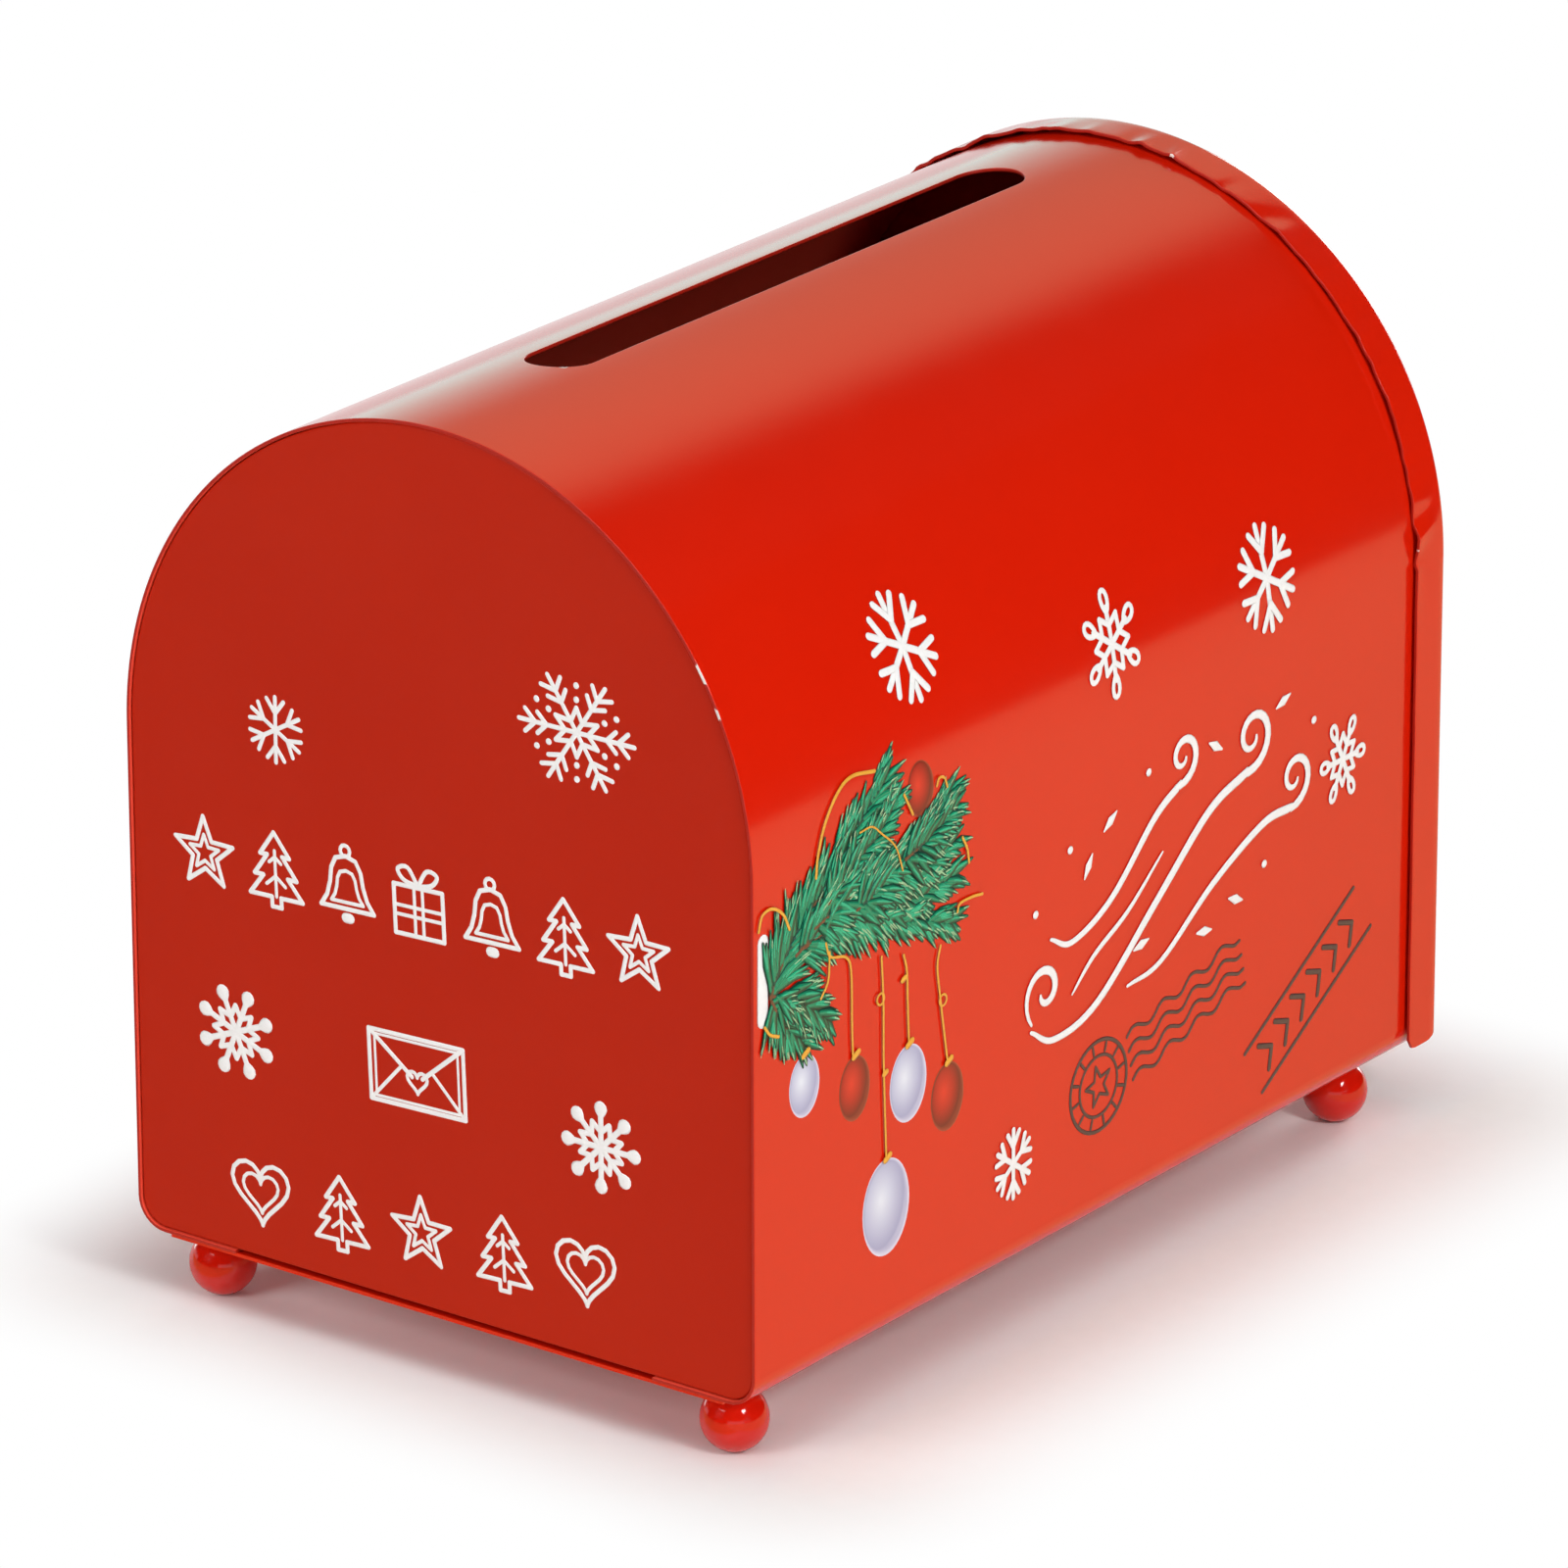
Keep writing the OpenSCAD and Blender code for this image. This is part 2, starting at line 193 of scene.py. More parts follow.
def cut_lines(bm, axis, places, geom=None):
    """Cuts a mesh, or a part of it, at places along one axis."""
    normal = Vector([1 if i == axis else 0 for i in range(3)])
    for place in places:
        faces = geom(bm) if geom else bm.faces[:]
        parts = faces + [e for f in faces for e in f.edges] + [v for f in faces for v in f.verts]
        bmesh.ops.bisect_plane(bm, geom=list(dict.fromkeys(parts)), plane_co=normal * place,
                               plane_no=normal, dist=WELD)


def finish_sheet(piece, thickness=0.0):
    """Gives a sheet its thickness, rounds its raw edges and keeps its flats flat in the light."""
    if thickness:
        wall = piece.modifiers.new("wall", "SOLIDIFY")
        wall.thickness = thickness * MM
        wall.offset = -1
        wall.use_even_offset = True
        wall.material_offset_rim = 1
    rounding = piece.modifiers.new("rounding", "BEVEL")
    rounding.width = EDGE_ROUND * MM
    rounding.segments = 2
    rounding.limit_method = "ANGLE"
    rounding.angle_limit = SHARP_ANGLE
    normals = piece.modifiers.new("normals", "WEIGHTED_NORMAL")
    normals.keep_sharp = False


# %% [markdown]
# ## Helpers for materials
# Colours are written as sRGB hex values, as a colour picker shows them, and one function turns them
# to the linear values that the renderer works in. One more adds a node with its settings and links.
# Most finishes drift between two tones in patches of some size, so that pattern is made once too.

# %% Define colours and nodes
def colour(hex_code):
    """Linear colour of an sRGB hex code."""
    channels = [int(hex_code[i:i + 2], 16) / 255 for i in (0, 2, 4)]
    linear = [c / 12.92 if c <= 0.04045 else ((c + 0.055) / 1.055) ** 2.4 for c in channels]
    return (*linear, 1.0)


def feed(node, inputs):
    """Sets a node's inputs. Each is a value, or the output socket that feeds it."""
    for key, value in inputs.items():
        if isinstance(value, bpy.types.NodeSocket):
            node.id_data.links.new(value, node.inputs[key])
        else:
            node.inputs[key].default_value = value


def add_node(tree, kind, inputs=None, **settings):
    """Adds a shader node with its settings and inputs."""
    node = tree.nodes.new("ShaderNode" + kind)
    for key, value in settings.items():
        setattr(node, key, value)
    feed(node, inputs or {})
    return node


# %% Define what every material starts from
FINE_BUMP = 0.01     # height in millimetres of the finest marks


def empty_tree(owner):
    """The node tree of a material or a world, without its first nodes."""
    owner.use_nodes = True
    owner.node_tree.nodes.clear()
    return owner.node_tree


def new_material(name, kind="BsdfPrincipled"):
    """An empty material with its shader wired to the output."""
    material = bpy.data.materials.new(name)
    tree = empty_tree(material)
    shader = add_node(tree, kind)
    add_node(tree, "OutputMaterial", {"Surface": shader.outputs[0]})
    return material, tree, shader


def per_mm(size):
    """Noise scale whose features are about this many millimetres across, on Object coordinates."""
    return 1 / (size * MM)


def mottle(tree, size, detail, dark, light):
    """Object coordinates, a noise on them with patches of a size, and the tone that follows it."""
    place = add_node(tree, "TexCoord").outputs["Object"]
    patches = add_node(tree, "TexNoise", {"Vector": place, "Scale": per_mm(size), "Detail": detail})
    tint = add_node(tree, "Mix", {"Factor": patches.outputs["Fac"], "A": colour(dark),
                                  "B": colour(light)}, data_type="RGBA")
    return place, patches.outputs["Fac"], tint.outputs["Result"]


# %% [markdown]
# ## Red stoving enamel
# Tinplate for boxes is roller coated with enamel and stoved, which leaves a hard, even gloss with a
# trace of orange peel about a millimetre across. The colour drifts by a per cent or two where the
# coat is thinner. The front panel was printed and varnished apart and has a satin coat, whose red is
# set darker than the wrap's as painted shade on the front; the ball feet were dipped, so their enamel
# is thicker and smoother. The inside of the wrap only has a thin base coat, which is duller, and its
# red is set paler as painted light for the shaded inside. One function makes the four.

# %% Make the enamels
THIN_PATCH = 30      # millimetres across, for the patches of thinner coat
DULL_PATCH = 9       # for those of duller gloss
ORANGE_PEEL = 1.1    # and for the bumps of the orange peel
PEEL_DEPTH = 0.02


def enamel(name, light, dark, roughness, peel, shine=0.5):
    """Coloured enamel on steel: an even gloss, a slight drift of colour and a fine orange peel."""
    material, tree, shader = new_material(name)
    place, _, tint = mottle(tree, THIN_PATCH, 4.0, dark, light)
    smear = add_node(tree, "TexNoise", {"Vector": place, "Scale": per_mm(DULL_PATCH), "Detail": 5.0})
    gloss = add_node(tree, "MapRange", {"Value": smear.outputs["Fac"], "To Min": roughness * 0.85,
                                        "To Max": roughness * 1.2})
    skin = add_node(tree, "TexNoise", {"Vector": place, "Scale": per_mm(ORANGE_PEEL), "Detail": 2.0})
    bump = add_node(tree, "Bump", {"Height": skin.outputs["Fac"], "Strength": peel,
                                   "Distance": PEEL_DEPTH * MM})
    feed(shader, {"Base Color": tint, "Roughness": gloss.outputs["Result"],
                  "Normal": bump.outputs["Normal"], "IOR": 1.5, "Specular IOR Level": shine})
    return material


red_enamel = enamel("red_stoving_enamel", "D61E05", "D01A04", 0.14, 0.35)
# darker than the wrap's red: painted shade on the front panel
satin_enamel_painted_shade = enamel("satin_red_enamel_painted_shade", "B72308", "B11E06", 0.36, 0.5, 0.12)
dipped_enamel = enamel("dipped_red_enamel", "D01A08", "C41506", 0.08, 0.15)
# paler than the wrap's red: painted light on the shaded inside
base_coat_painted_light = enamel("red_base_coat_painted_light", "F0523C", "E8452E", 0.45, 0.3)
print("enamels:", *(coat.name for coat in (red_enamel, satin_enamel_painted_shade, dipped_enamel, base_coat_painted_light)))

# %% [markdown]
# ## Cut edges
# Where the press cuts the enamelled sheet, the edge shows dull enamel that has crept round. Near-white
# marks on it, drawn as bare tin where the enamel chipped, are painted highlights set where the edge
# glints. They are listed or drawn with a seed and kept in an attribute called bare_and_glint, which
# the material turns from enamel to near-white tin.

# %% Make the cut edge
GLINT_CHIP_GRAIN = 0.8         # size of the ragged bits round a painted glint
EDGE_TOLERANCE = 0.05    # points this near the edge's own plane belong to it


def cut_edge_and_glints():
    """Dull enamel, turned to near-white tin where the attribute says so: a painted highlight."""
    material, tree, shader = new_material("cut_edge_painted_glints")
    bare_and_glint = add_node(tree, "Attribute", attribute_name="bare_and_glint").outputs["Fac"]
    place = add_node(tree, "TexCoord").outputs["Object"]
    glint_breakup = add_node(tree, "TexNoise", {"Vector": place, "Scale": per_mm(GLINT_CHIP_GRAIN), "Detail": 3.0})
    raised = add_node(tree, "Math", {0: bare_and_glint, 1: glint_breakup.outputs["Fac"]}, operation="ADD")
    glint_chip = add_node(tree, "MapRange", {"Value": raised.outputs[0], "From Min": 0.95, "From Max": 1.1})
    # the near-white tin is a painted highlight, set where the edge glints
    tint = add_node(tree, "Mix", {"Factor": glint_chip.outputs[0], "A": colour("AE1C0A"), "B": colour("F2EFE8")},
                    data_type="RGBA")
    metal = add_node(tree, "MapRange", {"Value": glint_chip.outputs[0], "To Max": 0.3})
    feed(shader, {"Base Color": tint.outputs["Result"], "Metallic": metal.outputs["Result"],
                  "Roughness": 0.45, "Specular IOR Level": 0.3})
    return material


raw_edge_and_glints = cut_edge_and_glints()
print("edge finish:", raw_edge_and_glints.name)


def mark_glint_chips(bm, glint_chips, run_of, edge_y):
    """Marks painted glints, drawn as bare tin, on a free edge at y. A chip is its place round the section
    and its half-length.
    """
    bare_and_glint = bm.verts.layers.float.new("bare_and_glint")
    for vert in bm.verts:
        if abs(vert.co.y - edge_y) < EDGE_TOLERANCE:
            run = run_of(vert.co)
            vert[bare_and_glint] = max([0] + [1 - (abs(run - place) / half) ** 2 for place, half in glint_chips])


# %% [markdown]
# ## Bright zinc plate
# The hinge, the rivets, the screws and the washers are steel, barrel plated with zinc and passivated:
# a metal with a soft, slightly mottled sheen and fine tumbling marks.

# %% Make the zinc plate
ZINC_MOTTLE = 2.5
TUMBLE_MARK = 0.3


def zinc_plate():
    """Bright zinc on steel, with a mottled sheen."""
    material, tree, shader = new_material("bright_zinc_plate")
    place, patches, tint = mottle(tree, ZINC_MOTTLE, 6.0, "A9ABAD", "CDCFCE")
    sheen = add_node(tree, "MapRange", {"Value": patches, "To Min": 0.28, "To Max": 0.42})
    marks = add_node(tree, "TexNoise", {"Vector": place, "Scale": per_mm(TUMBLE_MARK), "Detail": 2.0})
    bump = add_node(tree, "Bump", {"Height": marks.outputs["Fac"], "Strength": 0.3,
                                   "Distance": FINE_BUMP * MM})
    feed(shader, {"Base Color": tint, "Roughness": sheen.outputs["Result"],
                  "Normal": bump.outputs["Normal"], "Metallic": 1.0})
    return material


zinc = zinc_plate()
print("metal finish:", zinc.name)

# %% [markdown]
# ## Screen-printing inks
# The ornaments are laid on the enamel in opaque inks that stand a few hundredths of a millimetre
# proud and dry slightly matt. One function serves for every plain colour; the ink's own grain is too
# fine to see, so it is drawn at a third of a millimetre.

# %% Make the inks
INK_GRAIN = 0.35
INK_IOR = 1.48


def ink_colour(name, light, dark, roughness=0.35):
    """An opaque screen ink whose tone varies finely between two colours."""
    material, tree, shader = new_material(name)
    _, grain, tint = mottle(tree, INK_GRAIN, 3.0, dark, light)
    bump = add_node(tree, "Bump", {"Height": grain, "Strength": 0.15, "Distance": FINE_BUMP * MM})
    feed(shader, {"Base Color": tint, "Normal": bump.outputs["Normal"], "Roughness": roughness,
                  "IOR": INK_IOR})
    return material


INKS = {
    "white": ink_colour("white_ink", "F4F3F1", "E9E8E7"),
    "grey": ink_colour("dark_grey_ink", "5A3F3E", "43302F"),
    "gold": ink_colour("gold_ink", "F0B43A", "D9902A", 0.3),
    "bark": ink_colour("brown_ink", "7A4A2E", "5E3521"),
    "shade_green": ink_colour("deep_green_ink", "0A5040", "084234"),
    "green": ink_colour("fir_green_ink", "089468", "067C56"),
    "light_green": ink_colour("light_green_ink", "2CBC8A", "20A476"),
    "frost_green": ink_colour("frosted_green_ink", "B4D49C", "8CC69A"),
}
print("inks:", ", ".join(INKS))

# %% [markdown]
# ## The wrap: punch the slot, then bend
# The real blank is a rectangle of sheet in which a press punches the long slot while it is still
# flat. Modelled in that order the slot stays clean: a grid is cut into narrow strips where it has to
# bend, gets its thickness, and a Boolean takes out the slot with round ends. Cutting the slot into
# an already bent surface would give ragged faces.

# %% Cut the flat blank into strips
ARCH_STRIPS = 96
BEND_STRIPS = 8
FLAT_STRIPS = 6
ROWS = 22


def spread(start, end, parts):
    """Places that divide a stretch into equal parts, without its ends."""
    return [start + (end - start) * i / parts for i in range(1, parts)]


def flat_blank():
    """The sheet before it is punched. X runs round the section, Y along the box, and Z is 0 outside."""
    bm = bmesh.new()
    bmesh.ops.create_grid(bm, x_segments=1, y_segments=1, size=1)
    bmesh.ops.scale(bm, vec=(half_blank, (wrap_high.y - wrap_low.y) / 2, 1), verts=bm.verts)
    bmesh.ops.translate(bm, vec=(0, (wrap_high.y + wrap_low.y) / 2, 0), verts=bm.verts)
    creases = spread(-arch_run, arch_run, ARCH_STRIPS)
    for side in (-1, 1):
        spring, bend, turn = arch_run, arch_run + flat_run, arch_run + flat_run + bend_run
        creases += [side * spring, side * bend, side * turn]
        creases += [side * x for x in spread(spring, bend, FLAT_STRIPS) + spread(bend, turn, BEND_STRIPS)]
    cut_lines(bm, 0, creases)
    cut_lines(bm, 1, spread(wrap_low.y, wrap_high.y, ROWS))
    wall = bmesh.ops.extrude_face_region(bm, geom=bm.faces[:])
    bmesh.ops.translate(bm, vec=(0, 0, -SHEET), verts=new_verts(wall))
    bmesh.ops.recalc_face_normals(bm, faces=bm.faces)
    return to_mesh("blank", bm)


# %% Make the punch and its cut
SLOT_LENGTH = 106.0
SLOT_WIDTH = 10.5
PUNCH_H = 4.0        # the punch goes as far above the outer face as below it
PUNCH_FACETS = 48

slot_box = next(o["box_m"] for o in frame["record"]["physics"]["openings"] if o["name"] == "slot_mouth")
slot_x, slot_y = [(slot_box[0][axis] + slot_box[1][axis]) / 2 / MM for axis in (0, 1)]
print(f"the middle of the slot lies at {slot_x:.1f}, {slot_y:.1f}")


def slot_punch():
    """The punch: a circle pulled apart into a long shape with round ends, and given a height."""
    bm = bmesh.new()
    bmesh.ops.create_circle(bm, cap_ends=True, segments=PUNCH_FACETS, radius=SLOT_WIDTH / 2)
    for vert in bm.verts:
        vert.co.y += math.copysign((SLOT_LENGTH - SLOT_WIDTH) / 2, vert.co.y)
    top = bmesh.ops.extrude_face_region(bm, geom=bm.faces[:])
    bmesh.ops.translate(bm, vec=(0, 0, PUNCH_H), verts=new_verts(top))
    bmesh.ops.translate(bm, vec=(slot_x, slot_y, -PUNCH_H / 2), verts=bm.verts)
    bmesh.ops.recalc_face_normals(bm, faces=bm.faces)
    return to_mesh("punch", bm)


def punch_out(blank, punch):
    """The blank's mesh without what the punch takes out."""
    work, tool = to_scene("blank", blank), to_scene("punch", punch)
    cut = work.modifiers.new("punch", "BOOLEAN")
    cut.operation = "DIFFERENCE"
    cut.object = tool
    cut.solver = "EXACT"
    evaluated = work.evaluated_get(bpy.context.evaluated_depsgraph_get())
    bm = bmesh.new()
    bm.from_mesh(evaluated.to_mesh())
    for thing in (work, tool):
        bpy.data.objects.remove(thing)
    return bm


# %% Punch the blank and bend it
# painted highlights on the wrap's front edge, drawn as chips of bare tin
EDGE_GLINT_CHIPS = [(52.9, 1.9), (58.6, 0.45), (-44.0, 0.7)]   # place round the section and half-length
GLINT_CHIP_STEP = 1.2      # the first painted glint is long, so the edge gets points this close along it
PUNCH_WELD = 0.002   # the punch leaves double points this close together
OUTSIDE, RAW_EDGE, INSIDE = 0, 1, 2                      # material slots of the wrap

wrap = punch_out(flat_blank(), slot_punch())
bmesh.ops.remove_doubles(wrap, verts=wrap.verts, dist=PUNCH_WELD)
cut_lines(wrap, 0, [EDGE_GLINT_CHIPS[0][0] + GLINT_CHIP_STEP * step for step in (-2, -1, 0, 1, 2)])
mark_glint_chips(wrap, EDGE_GLINT_CHIPS, lambda place: place.x, wrap_low.y)
wrap.normal_update()
for face in wrap.faces:
    level = face.normal.z
    face.material_index = OUTSIDE if level > 0.5 else INSIDE if level < -0.5 else RAW_EDGE
for vert in wrap.verts:
    vert.co = on_sheet(*vert.co)
print("faces in the wrap:", len(wrap.faces))
body_sheet = new_piece("body_sheet", wrap, [red_enamel, raw_edge_and_glints, base_coat_painted_light])
finish_sheet(body_sheet)
stand_in("body_wrap")

# %% [markdown]
# ## The front panel: a shallow pan
# The panel is pressed with a flange all round and pushed into the wrap's front end. A press makes
# such a pan from a flat plate by folding its rim, so the outline is drawn once, its rim is extruded
# back as the flange, and a Bevel turns the fold into a tight bend. A Solidify gives the sheet its
# thickness.

# %% Draw the outline of an end plate and fold its rim
FOLD_STEPS = 5       # facets across a fold


def plate_outline(right_foot, half_width, steps):
    """Points round an end plate, from its right foot over the crown to the mirrored left foot."""
    left_foot = [(-x, z) for x, z in reversed(right_foot)]
    return right_foot + arc((0, spring_z), half_width, 0, 180, steps) + left_foot


def pan(points, y, depth, bend, open_foot):
    """An end plate at y with its rim folded back by a depth. An open foot keeps the lowest edge flat."""
    bm = bmesh.new()
    plate = bm.faces.new([bm.verts.new((x, y, z)) for x, z in points])
    rim = [e for e in plate.edges if not (open_foot and e.verts[0].co.z == e.verts[1].co.z)]
    fold = bmesh.ops.extrude_edge_only(bm, edges=rim)
    bmesh.ops.translate(bm, vec=(0, depth, 0), verts=new_verts(fold))
    bmesh.ops.recalc_face_normals(bm, faces=bm.faces)
    bmesh.ops.bevel(bm, geom=rim, offset=bend, offset_type="OFFSET", segments=FOLD_STEPS, profile=0.5,
                    affect="EDGES", material=-1)
    return bm


# %% Press the front panel
PANEL_BEND = 0.35
CORNER_STEPS = 8
panel_corner = BEND_R - (arch_r - panel_high.x)
corner_centre = (panel_high.x - panel_corner, panel_low.z + panel_corner)
panel_foot = arc(corner_centre, panel_corner, -90, 0, CORNER_STEPS)
panel_points = plate_outline(panel_foot, panel_high.x, ARCH_STRIPS)
front_pan = pan(panel_points, panel_low.y, panel_high.y - panel_low.y, PANEL_BEND, False)
front_sheet = new_piece("front_sheet", front_pan, [satin_enamel_painted_shade, raw_edge_and_glints])
finish_sheet(front_sheet, SHEET)
stand_in("front_panel")
print("points round the front panel:", len(panel_points))

# %% [markdown]
# ## The door: a pan whose rim puckers
# The door's flange slips over the body. Folding a straight rim round an arch leaves too much metal
# at its free edge, and on a cheap pressing that metal puckers: small pleats a few millimetres wide
# that start at nothing by the bend and stand a few tenths of a millimetre at the edge. They are
# worked into the mesh, because they catch the light and show in the outline. The straight sides
# only wave a little, but for a few creases where the arch springs from them.

# %% Pucker the flange of the door
DOOR_STRIPS = 224
PLEATS = 36
PLEAT_PLACE = (0.15, 0.85)           # where a pleat stands within its own share of the arch
PLEAT_WIDTH = (0.6, 1.6)             # half-widths
PLEAT_HEIGHT = (0.12, 0.42)          # at the free edge
PLEAT_SLANT = 3.0
SPRING_CREASES = (                   # place above the spring line, half-width, height and slant
    (-6.8, 0.8, -0.4, -2.5),
    (-4.6, 0.9, 0.45, -2.0),
    (-1.0, 0.9, -0.42, 2.5),
    (1.0, 1.1, 0.4, 3.0),
)
WAVE_HEIGHT, WAVE_LENGTH = 0.12, 11  # of the slow wave along the whole flange
WAVE_ROW = 3.7                       # row of the noise that the wave follows
PLEAT_GROWTH = 1.5                   # how late a pleat rises between the bend and the free edge
FLANGE_GAP = 0.42                    # how far the flange may be dented before it touches the body
pleat_random = random.Random(7)


def make_pleats():
    """Seeded pleats along the arch: place, half-width, height at the free edge and slant."""
    pleats = []
    for i in range(PLEATS):
        run = -arch_run + 2 * arch_run * (i + pleat_random.uniform(*PLEAT_PLACE)) / PLEATS
        height = pleat_random.choice((-1, 1)) * pleat_random.uniform(*PLEAT_HEIGHT)
        width = pleat_random.uniform(*PLEAT_WIDTH)
        pleats.append((run, width, height, pleat_random.uniform(-PLEAT_SLANT, PLEAT_SLANT)))
    for side in (-1, 1):
        pleats += [(side * (arch_run + along), width, height, side * slant)
                   for along, width, height, slant in SPRING_CREASES]
    return pleats


def pucker(run, reach, pleats):
    """How far the flange stands out at a place. Reach is 0 at the bend and 1 at the free edge."""
    rise = WAVE_HEIGHT * noise.noise(Vector((run / WAVE_LENGTH, WAVE_ROW, 0)))
    for place, width, height, slant in pleats:
        away = (run - place - slant * (1 - reach)) / width
        rise += height * math.exp(-away * away)
    return max(-FLANGE_GAP, rise) * reach ** PLEAT_GROWTH


def run_round(place):
    """Distance of a point on an end plate's rim from the crown, round the section."""
    if place.z > spring_z:
        return math.atan2(place.x, place.z - spring_z) * arch_r
    return math.copysign(arch_run + spring_z - place.z, place.x)


# %% Nip the corners of the flange
DOOR_CORNER = 2.6
FREE_CORNER = 1.6
NIP_BAND = 8.0       # height over which the nipped corners ease out
door_face_y = door_high.y


def rounding_rise(distance, radius):
    """How far a corner's arc lies above the straight edge, at a distance from the corner."""
    inward = max(0, radius - distance)
    return radius - math.sqrt(radius ** 2 - inward ** 2)


def nip(x, y, z):
    """How far a point near the lower edge is raised, so that both corners of the flange are round."""
    at_fold = rounding_rise(max(door_high.x - abs(x), door_face_y - y), DOOR_CORNER)
    at_free_edge = rounding_rise(y - door_low.y, FREE_CORNER)
    return max(at_fold, at_free_edge) * max(0, 1 - (z - door_low.z) / NIP_BAND)


# %% Press the door
DOOR_BEND = 1.2
FOOT_STEPS = (DOOR_CORNER, 2.0, 1.5, 0)  # points that shape the foot's corner, as distances from the side
FLANGE_CUTS, SIDE_CUTS = 7, 14           # cuts across the flange's width and along its straight sides
GLINT = 0.35                             # half-length of the painted glints, drawn as chips, on the sharpest pleats
GLINT_WIDTH = 0.8                        # pleats with a smaller half-width get a painted glint
bend_y = door_face_y - DOOR_BEND


def flange(bm):
    """The faces of the door's flange, ahead of its bend."""
    return [f for f in bm.faces if f.calc_center_median().y < bend_y]


def door_sheet_mesh():
    """The door's pan with nipped lower corners and a puckered flange."""
    foot = [(door_high.x - away, door_low.z) for away in FOOT_STEPS]
    points = plate_outline(foot, door_high.x, DOOR_STRIPS)
    bm = pan(points, door_face_y, door_low.y - door_face_y, DOOR_BEND, True)
    pleats = make_pleats()
    # painted highlights where the sharpest pleats would glint, drawn as chips of bare tin
    glints = [(place, GLINT) for place, width, _, _ in pleats if width < GLINT_WIDTH]
    mark_glint_chips(bm, glints, run_round, door_low.y)
    cut_lines(bm, 1, spread(door_low.y, bend_y, FLANGE_CUTS), flange)
    cut_lines(bm, 2, spread(door_low.z, spring_z, SIDE_CUTS), flange)
    for vert in bm.verts:
        x, y, z = vert.co
        reach = max(0, (bend_y - y) / (bend_y - door_low.y))
        if reach > 0:
            out = Vector((x, 0, max(0, z - spring_z))).normalized()
            vert.co += out * pucker(run_round(vert.co), reach, pleats)
        vert.co.z += nip(x, y, z)
    return bm


door_sheet = new_piece("door_sheet", door_sheet_mesh(), [red_enamel, raw_edge_and_glints], "door")
finish_sheet(door_sheet, SHEET)
stand_in("door_panel")
print("pleats and creases in the flange:", PLEATS + 2 * len(SPRING_CREASES))

# %% [markdown]
# ## Turned pieces
# The ball feet, the ball knob and the domed rivets are round about an axis. Each is one profile of
# radius and height spun through a full turn, which gives clean rings that catch a smooth highlight.

# %% Define the lathe
BALL_STEPS = 22
NECK_CHAMFER = 0.05


def turned(profile, steps):
    """A solid of revolution about Z from points of radius and height, closed on the axis."""
    bm = bmesh.new()
    ring = [bm.verts.new((radius, 0, height)) for radius, height in profile]
    edges = [bm.edges.new(pair) for pair in zip(ring, ring[1:])]
    bmesh.ops.spin(bm, geom=ring + edges, cent=(0, 0, 0), axis=(0, 0, 1), angle=2 * math.pi,
                   steps=steps, use_merge=True)
    bmesh.ops.remove_doubles(bm, verts=bm.verts, dist=WELD)
    bmesh.ops.recalc_face_normals(bm, faces=bm.faces)
    return bm


def turned_piece(name, bm, material, body, node):
    """A turned solid becomes a piece whose rims stay sharp, in the place of a CAD node."""
    piece = new_piece(name, bm, [material], body)
    piece.data.set_sharp_from_angle(angle=SHARP_ANGLE)
    stand_in(node)


def ball_profile(ball_r, neck_r, neck_top, flat_r):
    """A ball with a flat or a point at the bottom and a neck on top, that ends at height 0."""
    centre = -neck_top - ball_r
    low = -90 + math.degrees(math.asin(flat_r / ball_r))
    high = math.degrees(math.acos(neck_r / ball_r))
    ball = arc((0, centre), ball_r, low, high, BALL_STEPS)
    neck = [(neck_r, -NECK_CHAMFER), (neck_r - NECK_CHAMFER, 0), (0, 0)]
    return [(0, ball[0][1])] * (flat_r > 0) + ball + neck


# %% Turn the feet and the knob
NECK_R = 2.7
FOOT_NECK = 0.4
FOOT_FLAT_R = 1.3
KNOB_NECK = 1.5
BALL_FACETS = 64

for place in ("front_left", "front_right", "rear_left", "rear_right"):
    low, high = corners("foot_" + place)
    foot = turned(ball_profile((high.x - low.x) / 2, NECK_R, FOOT_NECK, FOOT_FLAT_R), BALL_FACETS)
    bmesh.ops.translate(foot, vec=((low.x + high.x) / 2, (low.y + high.y) / 2, high.z), verts=foot.verts)
    turned_piece("ball_foot_" + place, foot, dipped_enamel, "box", "foot_" + place)

knob_low, knob_high = corners("door_knob")
knob = turned(ball_profile((knob_high.x - knob_low.x) / 2, NECK_R, KNOB_NECK, 0), BALL_FACETS)
bmesh.ops.rotate(knob, cent=(0, 0, 0), matrix=Matrix.Rotation(math.radians(90), 3, "X"), verts=knob.verts)
bmesh.ops.translate(knob, vec=(0, knob_low.y, (knob_low.z + knob_high.z) / 2), verts=knob.verts)
turned_piece("ball_knob", knob, dipped_enamel, "door", "door_knob")
print(f"the knob stands {knob_high.y - knob_low.y:.1f} mm out of the door")

# %% [markdown]
# ## Rivets
# Each leaf of the hinge is held by domed rivets. Their heads show on the door and under the floor,
# so they are turned with a real dome and a slight flat where the set tool struck them.

# %% Set the rivets
RIVET_R = 1.0
HEAD_R = 2.0
HEAD_H = 0.9
RIVETS = 3
DOME_END = 80        # degrees: the set tool leaves a slight flat above this on the dome
DOME_STEPS = 7
RIVET_FACETS = 40


def rivet_profile(stack):
    """Two domed heads and a shank through a stack of sheets, from the lower head upward."""
    dome_r = (HEAD_R ** 2 + HEAD_H ** 2) / (2 * HEAD_H)
    edge = math.degrees(math.acos(HEAD_R / dome_r))
    top = arc((0, stack + HEAD_H - dome_r), dome_r, edge, DOME_END, DOME_STEPS)
    half = [(RIVET_R, stack)] + top + [(0, top[-1][1])]
    return [(r, stack - z) for r, z in reversed(half)] + half


